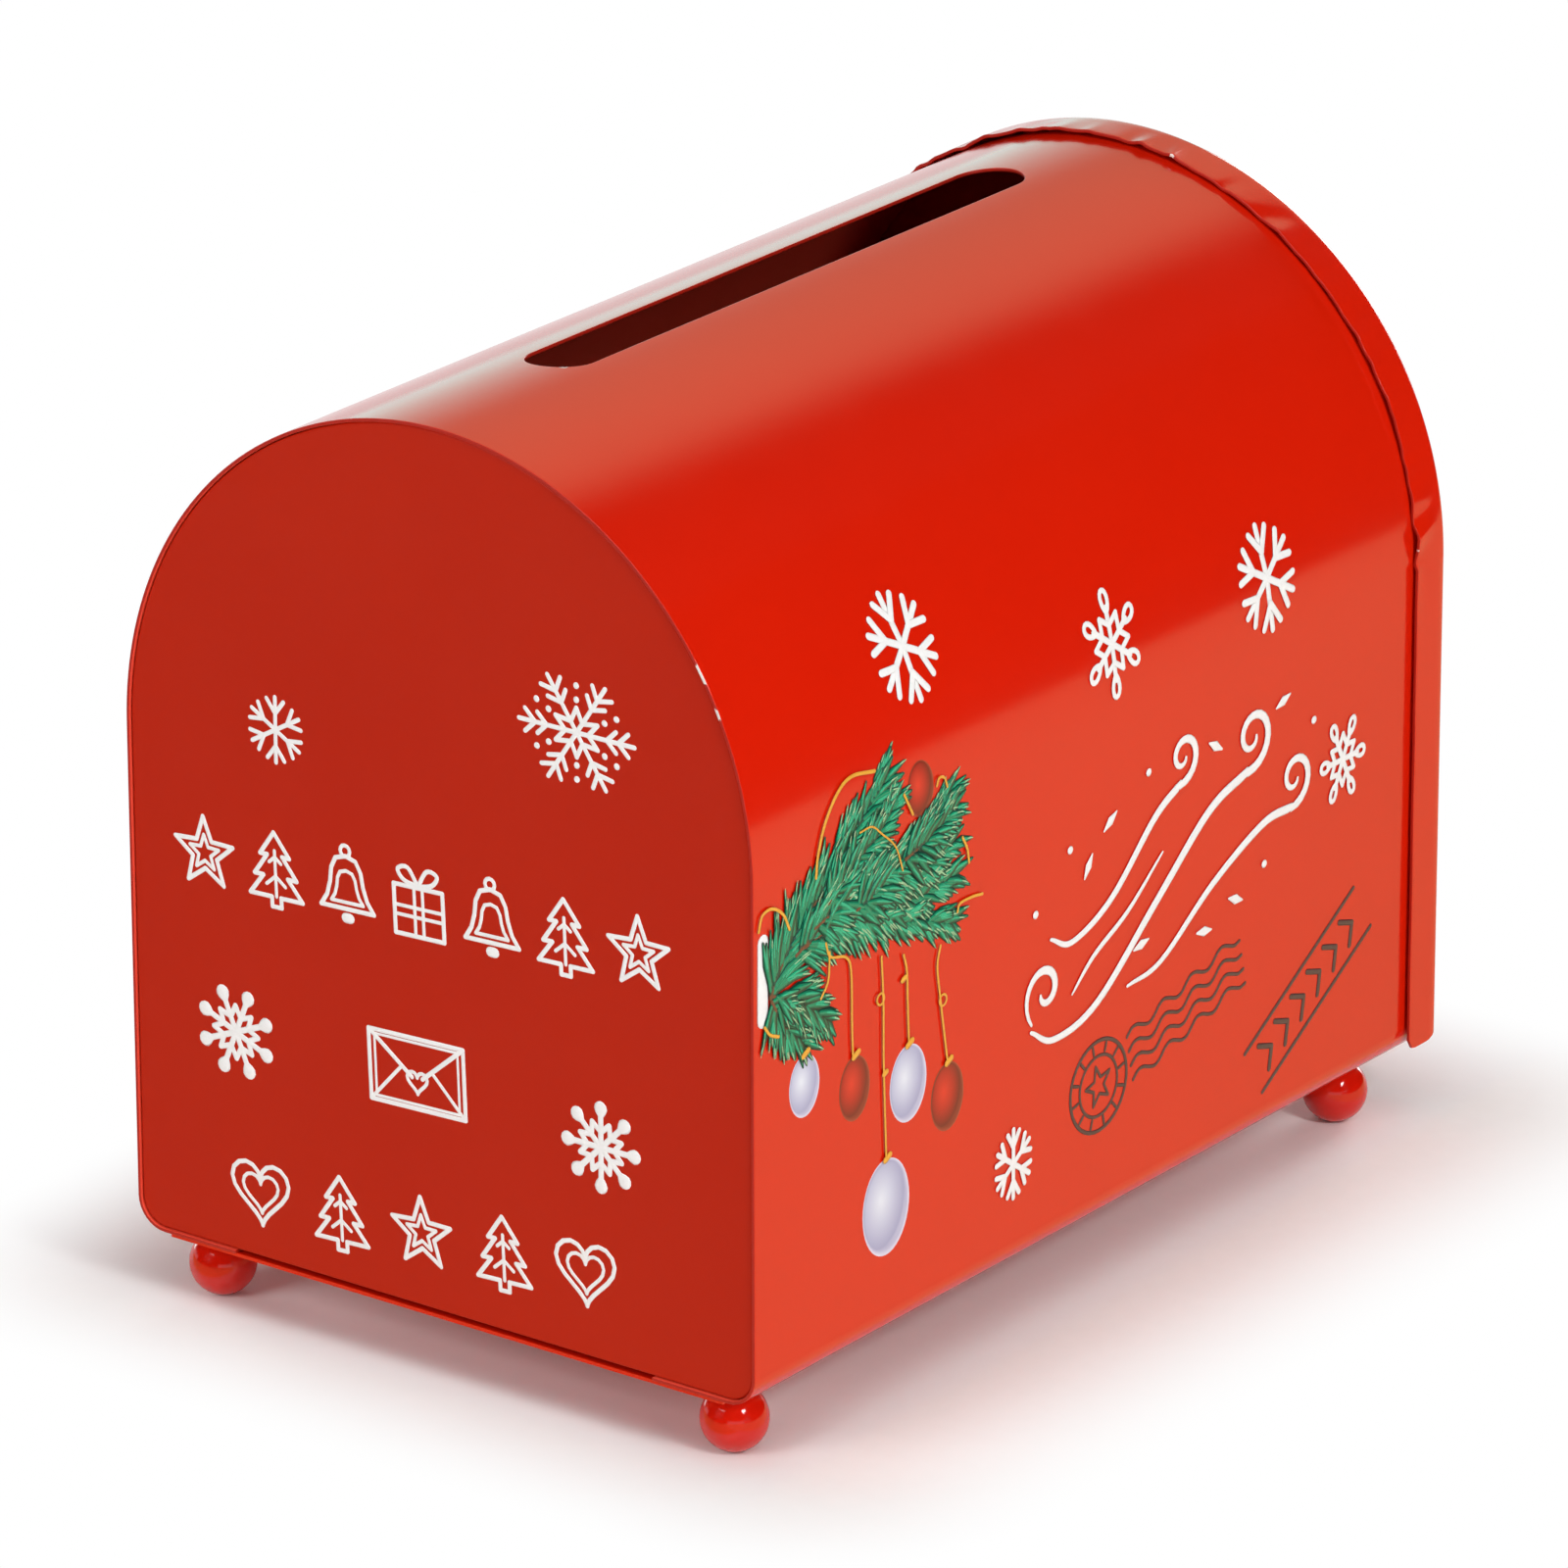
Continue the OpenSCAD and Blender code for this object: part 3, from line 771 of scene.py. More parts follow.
def set_rivets(name, node, turn, body):
    """A row of rivets where the CAD node has them."""
    low, high = corners(node)
    along = 1 if turn else 2
    stack = high[along] - low[along] - 2 * HEAD_H
    row = bmesh.new()
    for i in range(RIVETS):
        one = turned(rivet_profile(stack), RIVET_FACETS)
        if turn:
            bmesh.ops.rotate(one, cent=(0, 0, 0), matrix=turn, verts=one.verts)
        x = low.x + HEAD_R + (high.x - low.x - 2 * HEAD_R) * i / (RIVETS - 1)
        other = (low[3 - along] + high[3 - along]) / 2
        start = low[along] + HEAD_H
        bmesh.ops.translate(one, vec=(x, start, other) if turn else (x, other, start), verts=one.verts)
        row.from_mesh(to_mesh("rivet", one))
    turned_piece(name, row, zinc, body, node)


set_rivets("floor_rivets", "hinge_body_rivets", None, "box")
set_rivets("door_rivets", "hinge_door_rivets", Matrix.Rotation(math.radians(-90), 3, "X"), "door")
print("rivets in each leaf:", RIVETS)

# %% [markdown]
# ## Pieces that stay as the frame made them
# The floor plate, the hinge's leaves and pin, the screws and the washers already have their right
# shape, with true holes and crosses. They only get their finishes.

# %% Finish the solids that stay
KEPT = {
    "floor_plate": red_enamel,
    "hinge_body_leaf": zinc,
    "hinge_door_leaf": zinc,
    "hinge_pin": zinc,
    "foot_screws": zinc,
    "foot_washers": zinc,
    "knob_screw": zinc,
    "knob_washer": zinc,
}
for node, material in KEPT.items():
    kept = frame["nodes"][node]
    kept.data.materials.clear()
    kept.data.materials.append(material)
print("solids kept with a new finish:", len(KEPT))

# %% [markdown]
# ## A pen for the prints
# Screen printing lays down strokes of ink with round ends. A stroke is a line with a width at each
# point. Blender's curves make such a stroke in one go: a poly spline with a round bevel, whose radius
# shrinks in a half circle at each end. The tube is then pressed almost flat, so that a low dome of ink
# is left, and laid on the sheet by the same function that bent it. Drawing in the mesh keeps the
# edges of the print sharp at any distance, which a painted texture wouldn't.

# %% Define the pen
INK_RELIEF = 0.1                 # height of a stroke of ink, as a share of its width
THIN_RELIEF = 0.015              # the same for the needles, which lie over each other in many layers
ROUND_END = (0.5, 0.87, 0.999)   # points along the half circle at a stroke's end, as shares of it
STAGGER = 0.01                   # neighbouring strokes lie at heights this much apart, so they can cross
STAGGERED = 5                    # and every fifth one lies at the same height again
STROKE_WELD = 1e-3


def with_round_ends(points, widths):
    """Adds the points that close both ends of a stroke in a half circle."""
    def end(tip, inner, width):
        out = (tip - inner).normalized() * width / 2
        return [(tip + out * t, width * math.sqrt(1 - t * t)) for t in ROUND_END]

    start = end(points[0], points[1], widths[0])[::-1]
    return start + list(zip(points, widths)) + end(points[-1], points[-2], widths[-1])


def stroke_mesh(strokes, sides, relief=INK_RELIEF):
    """A mesh of flattened strokes. A stroke is its points, flat or at a height, and its widths."""
    curve = bpy.data.curves.new("strokes", "CURVE")
    curve.dimensions = "3D"
    curve.twist_mode = "Z_UP"
    curve.bevel_depth = 0.5
    curve.bevel_resolution = sides
    for number, (points, widths) in enumerate(strokes):
        points = [Vector(p).to_3d() for p in points]
        widths = list(widths) if hasattr(widths, "__len__") else [widths] * len(points)
        rounded = with_round_ends(points, widths)
        spline = curve.splines.new("POLY")
        spline.points.add(len(rounded) - 1)
        stagger = STAGGER * (number % STAGGERED)
        for slot, (place, width) in zip(spline.points, rounded):
            slot.co = (place.x, place.y, place.z + stagger, 1)
            slot.radius = width
    holder = to_scene("strokes", curve)
    bpy.context.view_layer.update()
    bm = bmesh.new()
    bm.from_mesh(holder.to_mesh())
    bpy.data.objects.remove(holder)
    bmesh.ops.scale(bm, vec=(1, 1, relief), verts=bm.verts)
    bmesh.ops.remove_doubles(bm, verts=bm.verts, dist=STROKE_WELD)
    bmesh.ops.recalc_face_normals(bm, faces=bm.faces)
    return bm


# %% Define lines, dots and their places
def smooth_line(points, steps=8):
    """Points on a smooth line through each of the given points."""
    dots = [Vector(p) for p in points]
    dots = [2 * dots[0] - dots[1], *dots, 2 * dots[-1] - dots[-2]]
    line = []
    for a, b, c, d in zip(dots, dots[1:], dots[2:], dots[3:]):
        for i in range(steps):
            t = i / steps
            line.append((2 * b + (c - a) * t + (2 * a - 5 * b + 4 * c - d) * t ** 2
                         + (3 * b - a - 3 * c + d) * t ** 3) / 2)
    return line + [dots[-2]]


def polar(radius, degrees):
    """A point at a distance and an angle from the middle."""
    angle = math.radians(degrees)
    return Vector((radius * math.cos(angle), radius * math.sin(angle)))


def placed(strokes, centre, turn=0.0, stretch=(1, 1)):
    """Strokes turned by some degrees, stretched along both axes and moved to a centre."""
    spin = Matrix.Rotation(math.radians(turn), 2)
    change = Matrix(((stretch[0], 0), (0, stretch[1]))) @ spin
    return [([change @ Vector(p) + Vector(centre) for p in points], widths) for points, widths in strokes]


def joined(points, width):
    """Straight strokes from point to point round a closed figure."""
    return [((a, b), width) for a, b in zip(points, points[1:] + points[:1])]


def dot(place, width, reach=(0.02, 0)):
    """A round dot, or a short dash where it has a reach."""
    return (Vector(place), Vector(place) + Vector(reach)), width


# %% Define the faces that are printed on
LEFT_MARGIN = 2.0    # distance of the left side's print from the door's flange


def on_right(a, b, height):
    """Right side: a runs back from the front edge, b up the sheet from the underside."""
    return on_sheet(arch_run + side_height - b, wrap_low.y + a, height)


def on_left(a, b, height):
    """Left side: a runs forward from the door's flange, b up the sheet from the underside."""
    return on_sheet(b - arch_run - side_height, door_low.y - LEFT_MARGIN - a, height)


def on_front(a, b, height):
    """Front panel: a runs to the right from the middle, b up from the underside."""
    return Vector((a, panel_low.y - height, underside_z + b))


def lay(name, bm, material, surface, lift=0.0):
    """Lays a flat print on a face of the box, at a height above it."""
    bmesh.ops.translate(bm, vec=(0, 0, lift), verts=bm.verts)
    for vert in bm.verts:
        vert.co = surface(*vert.co)
    return new_piece(name, bm, [material])


# %% [markdown]
# ## Snowflakes
# Four kinds of snowflake are scattered over the box. All are built the same way, by turning one arm
# about the middle: a plain one whose arms end in tridents, a fine one with a star and dots, and two
# whose arms end in drops, filled or hollow.

# %% Draw the plain and the fine snowflake
MIDDLE = Vector((0, 0))


def turned_round(arm, arms=6):
    """One arm, repeated round the middle."""
    return [s for k in range(arms) for s in placed(arm, MIDDLE, 360 / arms * k)]


def plain_flake(r, width):
    """Six arms that end in tridents, with their eighteen tips spread evenly."""
    arm = [((MIDDLE, polar(r, 0)), width)]
    arm += [((polar(r * 0.5, 0), polar(r * 0.96, 19 * side)), width) for side in (-1, 1)]
    return turned_round(arm)


def star_of_diamonds(inner, outer, arms, width):
    """A star made of diamonds, with its notches on the arms and its points between them."""
    step = 360 / arms
    lines = []
    for k in range(arms):
        notch, point = polar(inner, k * step), polar(outer, (k + 0.5) * step)
        following = polar(inner, (k + 1) * step)
        lines += [(pair, width) for pair in ((MIDDLE, notch), (notch, point), (point, following))]
    return lines


def fine_flake(r, width):
    """Six feathered arms round a star, with two dots in each gap."""
    arm = [((polar(r * 0.2, 0), polar(r, 0)), width)]
    for start, length in ((0.52, 0.24), (0.72, 0.26)):
        root = polar(r * start, 0)
        arm += [((root, root + polar(r * length, 48 * side)), width) for side in (-1, 1)]
    arm += [dot(polar(r * reach, 30), width * 1.35) for reach in (0.56, 0.8)]
    return turned_round(arm) + star_of_diamonds(r * 0.2, r * 0.42, 6, width)


# %% Draw the snowflakes whose arms end in drops
def hollow_drop(start, end, drop_width):
    """The outline of a drop along an arm, pointed at its start."""
    loop = []
    for i in range(17):
        t = 2 * math.pi * i / 16
        along = start + (end - start) * (1 - math.cos(t)) / 2
        loop.append(Vector((along, drop_width / 2 * math.sin(t) * abs(math.sin(t / 2)) ** 0.6)))
    return loop


def drop_flake(r, width, arms, hollow):
    """Arms that end in drops, round a star of diamonds."""
    start, drop_width = (r * 0.55, r * 0.26) if hollow else (r * 0.66, r * 0.33)
    arm = [((MIDDLE, polar(start + r * 0.08, 0)), width)]
    if hollow:
        arm.append((hollow_drop(start, r * 0.94, drop_width), width * 0.85))
    else:
        reach = r - drop_width / 2
        drop = (polar(start, 0), polar((start + reach) / 2, 0), polar(reach, 0))
        arm.append((drop, (width, drop_width * 0.8, drop_width)))
    return turned_round(arm, arms) + star_of_diamonds(r * 0.33, r * 0.56, arms, width * 0.9)


# %% [markdown]
# ## Picture motifs in double lines
# Bands of small festive motifs run across the front panel: stars, fir trees, bells, hearts, a parcel
# and an envelope. They are drawn in double white lines, an outline with a smaller copy or some inner
# lines in it, so a motif is a short list of corners or one formula.

# %% Define the figures
INNER = 0.8          # width of the inner lines, as a share of the outline's


def star_points(r):
    """Corners of a five-pointed star, point upward."""
    return [polar(r if k % 2 == 0 else r * 0.42, 90 + 36 * k) for k in range(10)]


def heart_points(r):
    """Points on a heart, from its notch round and back."""
    points = []
    for k in range(28):
        t = 2 * math.pi * k / 28
        x = 16 * math.sin(t) ** 3
        y = 13 * math.cos(t) - 5 * math.cos(2 * t) - 2 * math.cos(3 * t) - math.cos(4 * t)
        points.append(Vector((x, y + 2)) * r / 16)
    return points


def mirrored(half):
    """A closed figure from its right half, given from the top down."""
    right = [Vector(p) for p in half]
    return right + [Vector((-p.x, p.y)) for p in reversed(right) if p.x > 0]


TREE_HALF = [(0, 5.2), (2.5, 1.9), (1.3, 1.9), (3.6, -1.1), (2.1, -1.1), (4.5, -4.0), (0.8, -4.0),
             (0.8, -5.4)]
BELL_HALF = [(0, 4.2), (1.7, 3.7), (2.5, 2.2), (2.8, 0.2), (3.4, -1.7), (4.5, -3.3)]


def inner_copy(points, share, drop=0.0):
    """A smaller copy of a figure, inside it."""
    return [Vector((x * share, y * share + drop)) for x, y in points]


def double_line(points, share, width, drop=0.0):
    """A figure in two lines, one inside the other."""
    return joined(points, width) + joined(inner_copy(points, share, drop), width * INNER)


# %% Draw the motifs, about ten millimetres high
def star(width):
    """A star in two lines."""
    return double_line(star_points(5.2), 0.5, width)


def heart(width):
    """A heart in two lines."""
    return double_line(heart_points(4.9), 0.62, width)


def fir_tree(width):
    """A fir tree with a trunk and two pairs of boughs inside it."""
    trunk = [(((0, 2.6), (0, -3.9)), width * INNER)]
    boughs = [(((0, y), (s * x, y - x * 0.8)), width * INNER)
              for y, x in ((1.7, 1.0), (-1.0, 1.6)) for s in (-1, 1)]
    return joined(mirrored(TREE_HALF), width) + trunk + boughs


def bell(width):
    """A bell in two lines with its clapper and the ring on its crown."""
    clapper = [(((-0.35, -4.6), (0.35, -4.6)), width * 2.2)]
    crown = [(arc((0, 4.9), 0.8, 0, 360, 12), width * 0.9)]
    return double_line(mirrored(BELL_HALF), 0.6, width, -0.4) + clapper + crown


def parcel(width):
    """A parcel with crossed ribbons and a bow."""
    side, foot, lid = 4.1, -4.9, 2.0
    box = [(side, foot), (side, lid), (-side, lid), (-side, foot)]
    ribbon = [(((x, foot), (x, lid)), width * INNER) for x in (-0.7, 0.7)]
    ribbon += [(((-side, y), (side, y)), width * INNER) for y in (-0.9, -2.2)]
    bow = [(smooth_line([(0, 2.2), (s * 1.6, 4.6), (s * 3.3, 4.2), (s * 2.4, 2.8), (0, 2.2)], 5), width)
           for s in (-1, 1)]
    return joined(box, width) + ribbon + bow


def envelope(width):
    """A sealed envelope, seen from behind."""
    half_w, half_h = 8.0, 5.0
    rim = [(x * half_w, y * half_h) for x, y in ((1, -1), (1, 1), (-1, 1), (-1, -1))]
    flap = [(((s * half_w, half_h), (s * 0.9, -0.6)), width) for s in (-1, 1)]
    folds = [(((s * half_w, -half_h), (s * 2.6, 0.6)), width * INNER) for s in (-1, 1)]
    seal = placed(joined(heart_points(1.7), width * INNER), (0, -1.3))
    return joined(rim, width) + joined(inner_copy(rim, 0.88), width * 0.6) + flap + folds + seal


# %% Print the front panel
FRONT_LINE = 0.68
ROW_HIGH = (star, fir_tree, bell, parcel, bell, fir_tree, star)
ROW_LOW = (heart, fir_tree, star, fir_tree, heart)


def band(motifs, start, end, width):
    """Motifs evenly along a line, turned with it."""
    start, end = Vector(start), Vector(end)
    slope = math.degrees(math.atan2(end.y - start.y, end.x - start.x))
    strokes = []
    for k, motif in enumerate(motifs):
        strokes += placed(motif(width), start.lerp(end, k / (len(motifs) - 1)), slope)
    return strokes


front_strokes = (
    placed(plain_flake(4.6, 0.66), (-26.9, 77.6), 90)
    + placed(fine_flake(9.0, 0.7), (23.7, 88.5), 0, (1.05, 0.9))
    + placed(drop_flake(6.8, 0.9, 8, False), (-34.8, 32.5), 22.5)
    + placed(drop_flake(6.6, 0.9, 8, False), (27.1, 31.1), 0)
    + band(ROW_HIGH, (-39.6, 57.2), (33.6, 60.0), FRONT_LINE)
    + placed(envelope(FRONT_LINE), (-3.7, 34.0), 2)
    + band(ROW_LOW, (-31.0, 9.9), (24.4, 12.4), FRONT_LINE)
)
lay("front_print_white", stroke_mesh(front_strokes, 2), INKS["white"], on_front)
print("strokes on the front panel:", len(front_strokes))

# %% [markdown]
# ## The side's flourish and stamps
# A white flourish of long swashes sweeps up the side, drawn like a broad pen draws it: thin at the
# ends and full in the middle. Below it stand two stamps in dark grey, a round postmark with its wavy
# lines and a slanted band of chevrons, as on a letter sent by fast post.

# %% Draw the flourish
def curl(centre, radius, start, turns, steps=26):
    """A spiral from the outside in. Positive turns run anticlockwise."""
    points = []
    for i in range(steps + 1):
        t = i / steps
        points.append(Vector(centre) + polar(radius * (1 - 0.8 * t ** 0.8), start + 360 * turns * t))
    return points


def swash(points, width):
    """A stroke that is thin at both ends and full in the middle."""
    count = len(points) - 1
    fullness = [abs(math.sin(math.pi * i / count)) ** 0.7 for i in range(count + 1)]
    return points, [width * (0.38 + 0.62 * share) for share in fullness]


LEAF = (((-1.6, 0), (0.2, 0), (1.9, 0)), (0.35, 1.5, 0.3))
LEAVES = (                       # place and turn in degrees
    ((74.5, 53.2), 60),
    ((79.5, 58.2), 35),
    ((104.5, 61.5), 150),
    ((102.0, 35.2), -8),
    ((109.5, 37.6), -20),
    ((120.5, 63.2), 20),
    ((87.0, 38.0), 10),
)
DOTS = ((70.3, 57.0), (88.5, 62.6), (116.5, 40.6), (128.2, 58.2), (62.4, 50.2))


def flourish():
    """Three rising swashes that end in curls, with leaves and dots between them."""
    long_one = smooth_line([(61.5, 33.5), (67, 30.8), (77, 33.0), (91, 43.5), (103, 52.5), (112, 55.5)])
    upper = smooth_line([(66, 45.5), (71, 43.6), (80, 47.0), (90, 55.5), (96, 58.6)])
    lower = smooth_line([(84, 33.0), (92, 34.2), (104, 41.5), (116, 46.6), (123, 47.0)])
    strokes = [
        swash(long_one + curl((113.2, 60.3), 5.0, -100, 1.25), 1.5),
        swash(upper + curl((96.6, 62.4), 4.0, -97, 1.2), 1.35),
        swash(lower + curl((123.6, 51.2), 4.4, -97, 1.2), 1.35),
        swash(curl((64.6, 38.4), 4.9, -128, -1.1), 1.3),
        swash(smooth_line([(71, 36), (76, 40), (84, 44), (92, 50)], 6), 0.9),
    ]
    for place, turn in LEAVES:
        strokes += placed([LEAF], place, turn)
    return strokes + [dot(place, 1.2, (0.03, 0)) for place in DOTS]


# %% Draw the stamps
def stamps():
    """A postmark with wavy lines and a slanted band of chevrons."""
    ring = [(arc((0, 0), r, 0, 360, 36), w) for r, w in ((6.6, 0.6), (4.4, 0.5))]
    middle = joined(star_points(3.0), 0.5)
    ticks = [((polar(4.9, a), polar(6.1, a)), 0.5) for a in range(0, 360, 30)]
    waves = []
    for row in range(4):
        wave = [(7.6 + 1.3 * i, 3.3 - 2.3 * row + 0.75 * math.sin(i * 1.15)) for i in range(22)]
        waves.append((smooth_line(wave, 3), 0.55))
    strokes = placed(ring + middle + ticks + waves, (77.5, 20.5), 13)
    band_lines = [(((-15.5, y), (15.5, y)), 0.65) for y in (-4.2, 4.2)]
    chevrons = []
    for k in range(6):
        x = -12.6 + 4.6 * k
        chevrons += [(((x, s * 2.5), (x + 2.2, 0)), 0.85) for s in (-1, 1)]
    return strokes + placed(band_lines + chevrons, (128.0, 18.2), 32)


# %% [markdown]
# ## The fir sprig and its baubles
# A sprig hangs over the side's front edge: twigs set with hundreds of needles, gold thread and glass
# baubles. The twigs grow their needles by rule, to both sides and leaning forward, and the draw is
# seeded, so that the sprig is the same each time. A needle is up to four tapered strokes with only a
# few faces each: a dark one, a narrower green one on it, then a short light one and a frosted tip.
# Needles near a twig's foot lie over those ahead of them, as shingles do, so that each tip shows.

# %% Set the twigs and the sizes of the needles
TWIGS = (                         # points from foot to tip, and reach of the needles
    ([(3.4, 57.4), (6.0, 61.2), (10.2, 65.2), (15.0, 68.8), (18.6, 71.8), (23.2, 75.4), (28.2, 79.0)], 8.2),
    ([(13.0, 64.0), (21.8, 66.0), (29.0, 66.8), (33.8, 68.0), (38.0, 70.0), (42.4, 73.4)], 6.6),
    ([(33.0, 67.4), (39.0, 69.0), (43.4, 70.8)], 5.6),
    ([(16.0, 66.5), (22.0, 70.2), (27.0, 72.6), (30.6, 75.6)], 5.6),
    ([(9.0, 61.5), (15.6, 64.0), (23.3, 63.2), (29.6, 61.8), (36.4, 61.2), (43.0, 61.6)], 6.8),
    ([(22.0, 63.6), (29.0, 65.0), (36.4, 64.8), (43.0, 66.0)], 6.0),
    ([(10.0, 62.0), (17.5, 62.6), (24.5, 61.2), (31.5, 59.0), (38.0, 57.0), (42.4, 55.4)], 6.0),
    ([(3.4, 57.6), (8.0, 56.0), (12.0, 53.2), (15.2, 50.6)], 6.2),
    ([(3.6, 56.8), (6.4, 52.6), (10.6, 48.8)], 5.8),
)
NEEDLES_PER_MM = 5.5              # along a twig, both sides together
NEEDLE_WIDTH = 1.12
WIDTH_SPREAD = (0.85, 1.15)
NEEDLE_LENGTH = (0.75, 1.05)      # as shares of the reach
TIP_LOSS = 0.32                   # how much shorter the needles are at a twig's tip
NEEDLE_LEAN = (20, 60)            # degrees off the twig, times 1.1 at its foot and 0.5 at its tip
ROOT_SHIFT = 0.8                  # how far from the twig's middle a needle may start
NEEDLE_SAG = Vector((0.06, -0.10))
NEEDLE_LEVELS = 8                 # from the twig's tip, lowest, to its foot
LEVEL_SPREAD = 0.6                # how far a needle may stray from its level
NEEDLE_STEP = 0.006               # each layer of ink lies this much above the one below
SPRIG_EDGE = 0.6                  # the print ends this far behind the side's front edge
NEEDLE_PARTS = (                  # ink, start and end as shares of the length, width, how many have it
    ("shade_green", 0.0, 1.0, 1.2, 1.0),
    ("green", 0.08, 0.95, 0.84, 1.0),
    ("light_green", 0.42, 0.93, 0.44, 0.8),
    ("frost_green", 0.84, 1.07, 0.24, 0.45),
)
print("twigs in the sprig:", len(TWIGS))


# %% Grow the sprig
def needle(root, direction, length, start, end, width):
    """One tapered stroke of a needle that bends slightly, between two shares of its length."""
    sag = NEEDLE_SAG * length
    points = [root + direction * length * share + sag * share * (2 * share - 1.6)
              for share in (start, (start + end) / 2, end)]
    return points, (width * 0.8, width, width * 0.3)


def grow(rng):
    """The needles of every twig, sorted by ink."""
    layers = {part[0]: [] for part in NEEDLE_PARTS}
    for points, reach in TWIGS:
        line = smooth_line(points, 6)
        run = sum((b - a).length for a, b in zip(line, line[1:]))
        for i in range(round(run * NEEDLES_PER_MM)):
            along = rng.uniform(0, len(line) - 1.001)
            here, there = line[int(along)], line[int(along) + 1]
            tip = along / (len(line) - 1)
            lean = math.radians((-1) ** i * rng.uniform(*NEEDLE_LEAN) * (1.1 - 0.6 * tip))
            direction = Matrix.Rotation(lean, 2) @ (there - here).normalized()
            length = reach * rng.uniform(*NEEDLE_LENGTH) * (1 - TIP_LOSS * tip)
            root = here.lerp(there, along % 1) + direction * rng.uniform(0, ROOT_SHIFT)
            if (root + direction * length * 1.1).x < SPRIG_EDGE:
                continue
            width = NEEDLE_WIDTH * rng.uniform(*WIDTH_SPREAD)
            level = round((1 - tip) * (NEEDLE_LEVELS - 1) + rng.uniform(-LEVEL_SPREAD, LEVEL_SPREAD))
            for number, (ink, start, end, share, part) in enumerate(NEEDLE_PARTS):
                height = (level * len(NEEDLE_PARTS) + number) * NEEDLE_STEP / THIN_RELIEF
                if rng.random() < part:
                    flat, widths = needle(root, direction, length, start, end, width * share)
                    layers[ink].append(([(*p, height) for p in flat], widths))
    return layers


def twig_stroke(points):
    """The bark of a twig, just below the needles that stand at the same place."""
    line = smooth_line(points, 8)
    count = len(line) - 1
    top = (NEEDLE_LEVELS - 1) * len(NEEDLE_PARTS) * NEEDLE_STEP / INK_RELIEF
    height = [(0.92 - i / count) * top for i in range(count + 1)]
    return [(*p, h) for p, h in zip(line, height)], [0.7 - 0.3 * i / count for i in range(count + 1)]


# %% Draw the threads and list the baubles
BAUBLES = (                       # place of the middle, half-width, half-height, colour
    ((28.9, 19.3), 5.2, 6.9, "lilac"),
    ((10.9, 42.6), 3.3, 4.4, "lilac"),
    ((33.8, 35.4), 4.1, 5.5, "lilac"),
    ((21.9, 38.6), 3.4, 4.6, "red"),
    ((42.6, 30.6), 3.7, 4.9, "red"),
    ((36.6, 76.1), 2.9, 3.9, "red"),
)
HANGING = BAUBLES[:5]             # the last one lies in the twigs


def thread(points, width=0.42):
    """A fine line through a few points."""
    return smooth_line(points, 6), width


THREADS = [
    thread([(15.3, 61.2), (16.3, 59.0), (19.6, 57.9), (20.8, 55.5), (21.0, 47.7), (21.2, 43.4)]),
    thread([(16.1, 59.7), (15.8, 55.9), (14.2, 53.8)]),
    thread([(27.5, 55.4), (27.9, 48.7), (28.0, 39.5), (28.6, 26.4)]),
    thread([(32.4, 54.1), (33.1, 51.6), (33.3, 46.9), (33.6, 41.0)]),
    thread([(40.6, 52.8), (39.9, 50.1), (40.5, 45.9), (41.2, 41.7), (42.3, 35.6)]),
    thread([(0.8, 67.4), (1.6, 69.4), (3.7, 69.7), (6.0, 68.2), (7.4, 65.7)], 0.5),
    thread([(13.2, 71.0), (13.6, 73.9), (15.3, 77.6), (18.4, 80.8), (21.8, 82.2), (26.8, 81.5)], 0.55),
    thread([(32.6, 76.5), (33.5, 74.9), (34.4, 73.3)], 0.45),
    thread([(22.8, 74.3), (25.4, 74.3), (27.5, 72.7), (30.6, 69.9), (32.2, 66.1)], 0.3),
    thread([(39.8, 75.6), (40.4, 76.5), (41.5, 76.2), (42.1, 74.8)], 0.4),
    thread([(45.5, 66.6), (46.6, 64.6), (47.0, 62.6)], 0.45),
    thread([(44.4, 56.4), (45.0, 57.4), (47.5, 57.5), (50.0, 57.2)], 0.45),
    thread([(2.0, 53.7), (3.2, 52.3), (5.0, 51.5)], 0.5),
]
THREAD_RINGS = [(arc(place, 0.8, 0, 360, 14), 0.36) for place in ((27.3, 49.5), (41.2, 44.9))]
BAUBLE_CAPS = [((Vector((x - 0.5, y + h)), Vector((x + 0.5, y + h + 0.5))), 1.0)
               for (x, y), _, h, _ in HANGING]
KNOTS = [dot(place, 0.9, (0.5, 0.2)) for place in ((32.2, 50.6), (28.1, 38.6))]
print("threads:", len(THREADS), "and baubles:", len(BAUBLES))

# %% [markdown]
# ## Glass baubles
# A printed bauble is a disc of ink with a soft gradient: a pale glow off-centre and a deeper rim. The
# disc is inset ring by ring, and each point keeps how far it lies from the glow in an attribute that
# the material turns into colour. The dome stays low enough for threads and needles to lie over it.

# %% Make the bauble inks
def fill_ramp(ramp, tones):
    """Sets the stops of a colour ramp from places and linear colours, the first of them at 0."""
    stops = ramp.color_ramp.elements
    stops.remove(stops[1])
    for place, tone in tones:
        stop = stops.new(place) if place else stops[0]
        stop.color = tone


def bauble_ink(name, tones):
    """Ink whose tone runs through the given colours from the glow to the rim."""
    material, tree, shader = new_material(name)
    tone = add_node(tree, "Attribute", attribute_name="tone")
    ramp = add_node(tree, "ValToRGB", {"Fac": tone.outputs["Fac"]})
    fill_ramp(ramp, [(place, colour(code)) for place, code in tones])
    feed(shader, {"Base Color": ramp.outputs["Color"], "Roughness": 0.3, "IOR": INK_IOR})
    return material


